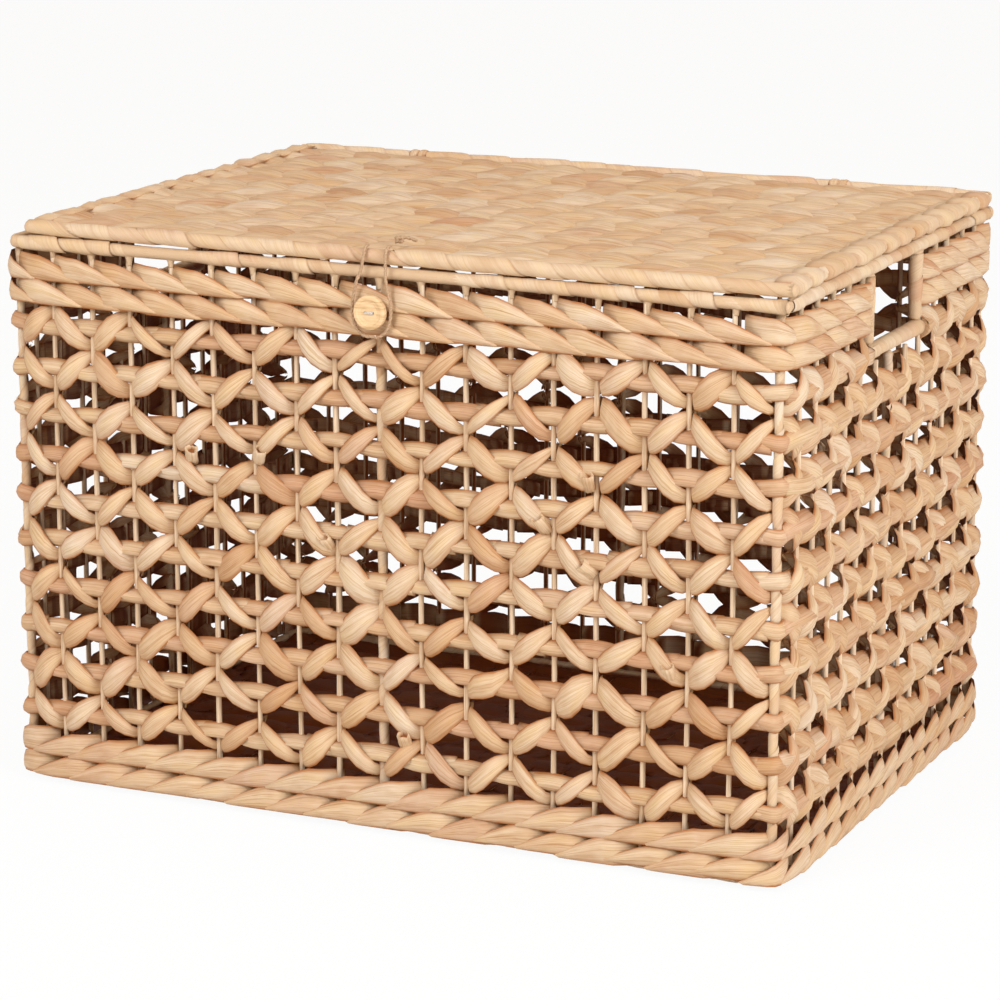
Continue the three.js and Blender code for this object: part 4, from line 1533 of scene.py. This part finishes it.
def edge_strips(node, way):
    low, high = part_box("lid_weave")
    row_width = (high.y - low.y) / LID_ROWS / MM
    place = edge_place(node, way)
    t = np.linspace(-1, 1, STATIONS)
    along = EDGE_RADIUS * math.pi / 2 + EDGE_REACH * np.sign(t) * np.abs(t) ** EDGE_EASE
    bump = np.exp(-(EDGE_NARROW * t) ** 2)
    laid = []
    for row in range(LID_ROWS):
        lean = EDGE_LEAN if row % 2 == 0 else -EDGE_LEAN
        laid.append(lay_strip(
            place,
            along + chance.normal(0, EDGE_END_VARIES),
            EDGE_BUMP * bump - EDGE_SINK,
            low.y / MM + (row + 0.5) * row_width + lean * bump + chance.normal(0, EDGE_ROW_VARIES),
            row_width * EDGE_HALF * chance.normal(1, EDGE_HALF_VARIES),
            EDGE_SINK + EDGE_CROWN + EDGE_SWELL * bump,
            EDGE_BACK,
            any_tone(*EDGE_TONE),
            any_blush(*EDGE_BLUSH),
            ends=0.6,
        ))
    edge = join(laid)
    turn_outwards(edge)
    return edge


for side, trim in (("front", FRONT_TRIM), ("back", BACK_TRIM)):
    wind_node(f"lid_rod_{side}", LID_LAP, "lid", tone=0.58, lumps=0.5, slim=LID_ROD_SLIM, trim=trim)
for side, way in (("left", -1), ("right", 1)):
    node = f"lid_rod_{side}"
    edge = edge_strips(node, way)
    wind_node(node, LID_LAP, "lid", tone=0.5, lumps=0.2, slim=SIDE_ROD_SLIM, extras=[edge])

# %% [markdown]
# At the back the lid hangs on two ties: a strip of leaf that goes twice round the back rod of the lid and
# the rim rod under it. The place function walks round the two rods, up the back, over, down and under.

# %% Hinge ties
TIE_TURNS = 2
TIE_QUARTERS = 4
TIE_STRIP = 2.2
TIE_HALF = 0.54
TIE_CROWN = 0.35
TIE_BACK = 0.2
TIE_LAP = 0.1
TIE_TONE = (0.5, 0.1)


def tie_place(node):
    """The place function of strips that go round the two rods of a tie, and the length of one turn."""
    low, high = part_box(node)
    radius = (high.y - low.y) / 2 / MM - TIE_STRIP
    axis_y = (low.y + high.y) / 2 / MM
    low_z = low.z / MM + radius + TIE_STRIP
    straight = high.z / MM - radius - TIE_STRIP - low_z
    half_turn = math.pi * radius
    whole = 2 * (straight + half_turn)

    def place(along, out, up):
        run = np.mod(along, whole)
        over = np.clip((run - straight) / radius, 0, math.pi)
        under = np.clip((run - 2 * straight - half_turn) / radius, 0, math.pi)
        rise = np.clip(run, 0, straight) - np.clip(run - straight - half_turn, 0, straight)
        reach = radius + out
        return np.stack([
            (low.x + high.x) / 2 / MM + up,
            axis_y + reach * np.cos(over + under),
            low_z + rise + reach * np.sin(over + under),
        ], axis=-1)

    return place, whole


for node in ("hinge_tie_left", "hinge_tie_right"):
    place, whole = tie_place(node)
    low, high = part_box(node)
    width = (high.x - low.x) / MM / TIE_TURNS
    quarter_turn = whole / TIE_QUARTERS
    laid = []
    for turn in range(TIE_TURNS):
        for quarter in range(TIE_QUARTERS):
            laid.append(lay_strip(
                place,
                (quarter - TIE_LAP + (1 + 2 * TIE_LAP) * EVEN) * quarter_turn,
                0.0,
                (turn - (TIE_TURNS - 1) / 2) * width,
                width * TIE_HALF,
                TIE_STRIP * TIE_CROWN,
                TIE_BACK,
                any_tone(*TIE_TONE),
                ends=0.0,
            ))
    finish_joined(laid, f"leaf_{node}", "basket", "leaf_weave", wall_leaf, node)

# %% [markdown]
# The button is a turned disc of pale wood. It starts as a cylinder: its face is inset for the raised edge
# and again for a plain ring, a bevel rounds the edges, and two drilled holes take the thread.

# %% Button wood
WOOD_SHADES = [(0.3, (0.56, 0.36, 0.17)), (0.5, (0.76, 0.52, 0.28)), (0.7, (0.82, 0.6, 0.35))]
WOOD_TURN = (0, 0.5, 0)
button_wood, tree, shader = new_material("button wood", roughness=0.45)
grain = add_noise(tree, own_space(tree), (60, 60, 700), 4, WOOD_TURN)
tree.links.new(add_ramp(tree, grain, *WOOD_SHADES), shader.inputs["Base Color"])
add_bump(tree, grain, shader, strength=0.15, depth=0.2 * MM)
print("wood material has", len(tree.nodes), "nodes")

# %% Turned button
BUTTON_SIDES = 64
EDGE_WIDTH = 2.2 * MM
EDGE_ROUND = 0.6 * MM
DISH = 0.5 * MM
RING_PLACE = 1.6 * MM
RING_WIDTH = 0.5 * MM
RING_DEPTH = 0.25 * MM
HOLE_RADIUS = 0.9 * MM
HOLE_PLACE = 2.4 * MM
HOLE_SIDES = 20
# How far in each step goes, and how far up or down the face then moves
BUTTON_STEPS = [
    (EDGE_WIDTH, 0),
    (DISH, -DISH),
    (RING_PLACE, 0),
    (RING_WIDTH, -RING_DEPTH),
    (RING_WIDTH, RING_DEPTH),
]
low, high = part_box("button")
button_radius = (high.x - low.x) / 2
button_thickness = high.y - low.y

button = add_cylinder(BUTTON_SIDES, button_radius, button_thickness)
select_faces(button, lambda face: face.normal.z > FLAT)
for inset, step in BUTTON_STEPS:
    bpy.ops.mesh.inset(thickness=inset)
    bpy.ops.transform.translate(value=(0, 0, step))
bpy.ops.object.mode_set(mode="OBJECT")
round_edges = button.modifiers.new("round edges", "BEVEL")
round_edges.width = EDGE_ROUND
round_edges.segments = 3
round_edges.limit_method = "ANGLE"
round_edges.angle_limit = math.radians(60)
bpy.ops.object.modifier_apply(modifier="round edges")
for side in (-1, 1):
    bpy.ops.mesh.primitive_cylinder_add(
        vertices=HOLE_SIDES,
        radius=HOLE_RADIUS,
        depth=4 * button_thickness,
        location=(side * HOLE_PLACE, 0, 0),
    )
    drill = bpy.context.object
    use_alone(button)
    drilled = button.modifiers.new("drill", "BOOLEAN")
    drilled.operation = "DIFFERENCE"
    drilled.object = drill
    bpy.ops.object.modifier_apply(modifier="drill")
    bpy.data.objects.remove(drill)
use_alone(button)
bpy.ops.object.shade_smooth_by_angle(angle=math.radians(40))
button.data.transform(Matrix.Translation((low + high) / 2) @ Matrix.Rotation(math.pi / 2, 4, "X"))
finish_piece(button, "turned_button", "basket", "button_wood", button_wood, "button")

# %% [markdown]
# The thread is white cotton: two short stitches side by side that come up through one hole and go down
# through the other. They are laid as the twine is, only finer.

# %% Button thread
COTTON_SHADES = [(0.3, (0.58, 0.54, 0.48)), (0.7, (0.82, 0.8, 0.76))]
THREAD_DIAMETER = 0.7 * MM
THREAD_LAY = 3 * MM
THREAD_LIFT = 0.3 * THREAD_DIAMETER
STITCH_FLAT = 0.7 * HOLE_PLACE
STITCH_STEPS = 6

cotton, tree, shader = new_material("cotton thread", roughness=0.85)
fluff = add_noise(tree, own_space(tree), (3000, 3000, 3000), 2)
tree.links.new(add_ramp(tree, fluff, *COTTON_SHADES), shader.inputs["Base Color"])

thread_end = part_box("button_thread")[1].y
face_y = low.y
stitches = []
for level in (-0.5, 0.5):
    height = middle("button_thread").z + level * THREAD_DIAMETER
    stitch = smooth_line([
        (-HOLE_PLACE, thread_end, height),
        (-HOLE_PLACE, face_y + DISH, height),
        (-STITCH_FLAT, face_y - THREAD_LIFT, height),
        (STITCH_FLAT, face_y - THREAD_LIFT, height),
        (HOLE_PLACE, face_y + DISH, height),
        (HOLE_PLACE, thread_end, height),
    ], STITCH_STEPS)
    stitches.append(lay_twine("stitch", stitch, THREAD_DIAMETER, THREAD_LAY)[0])
finish_joined(stitches, "cotton_stitches", "basket", "cotton_thread", cotton, "button_thread")
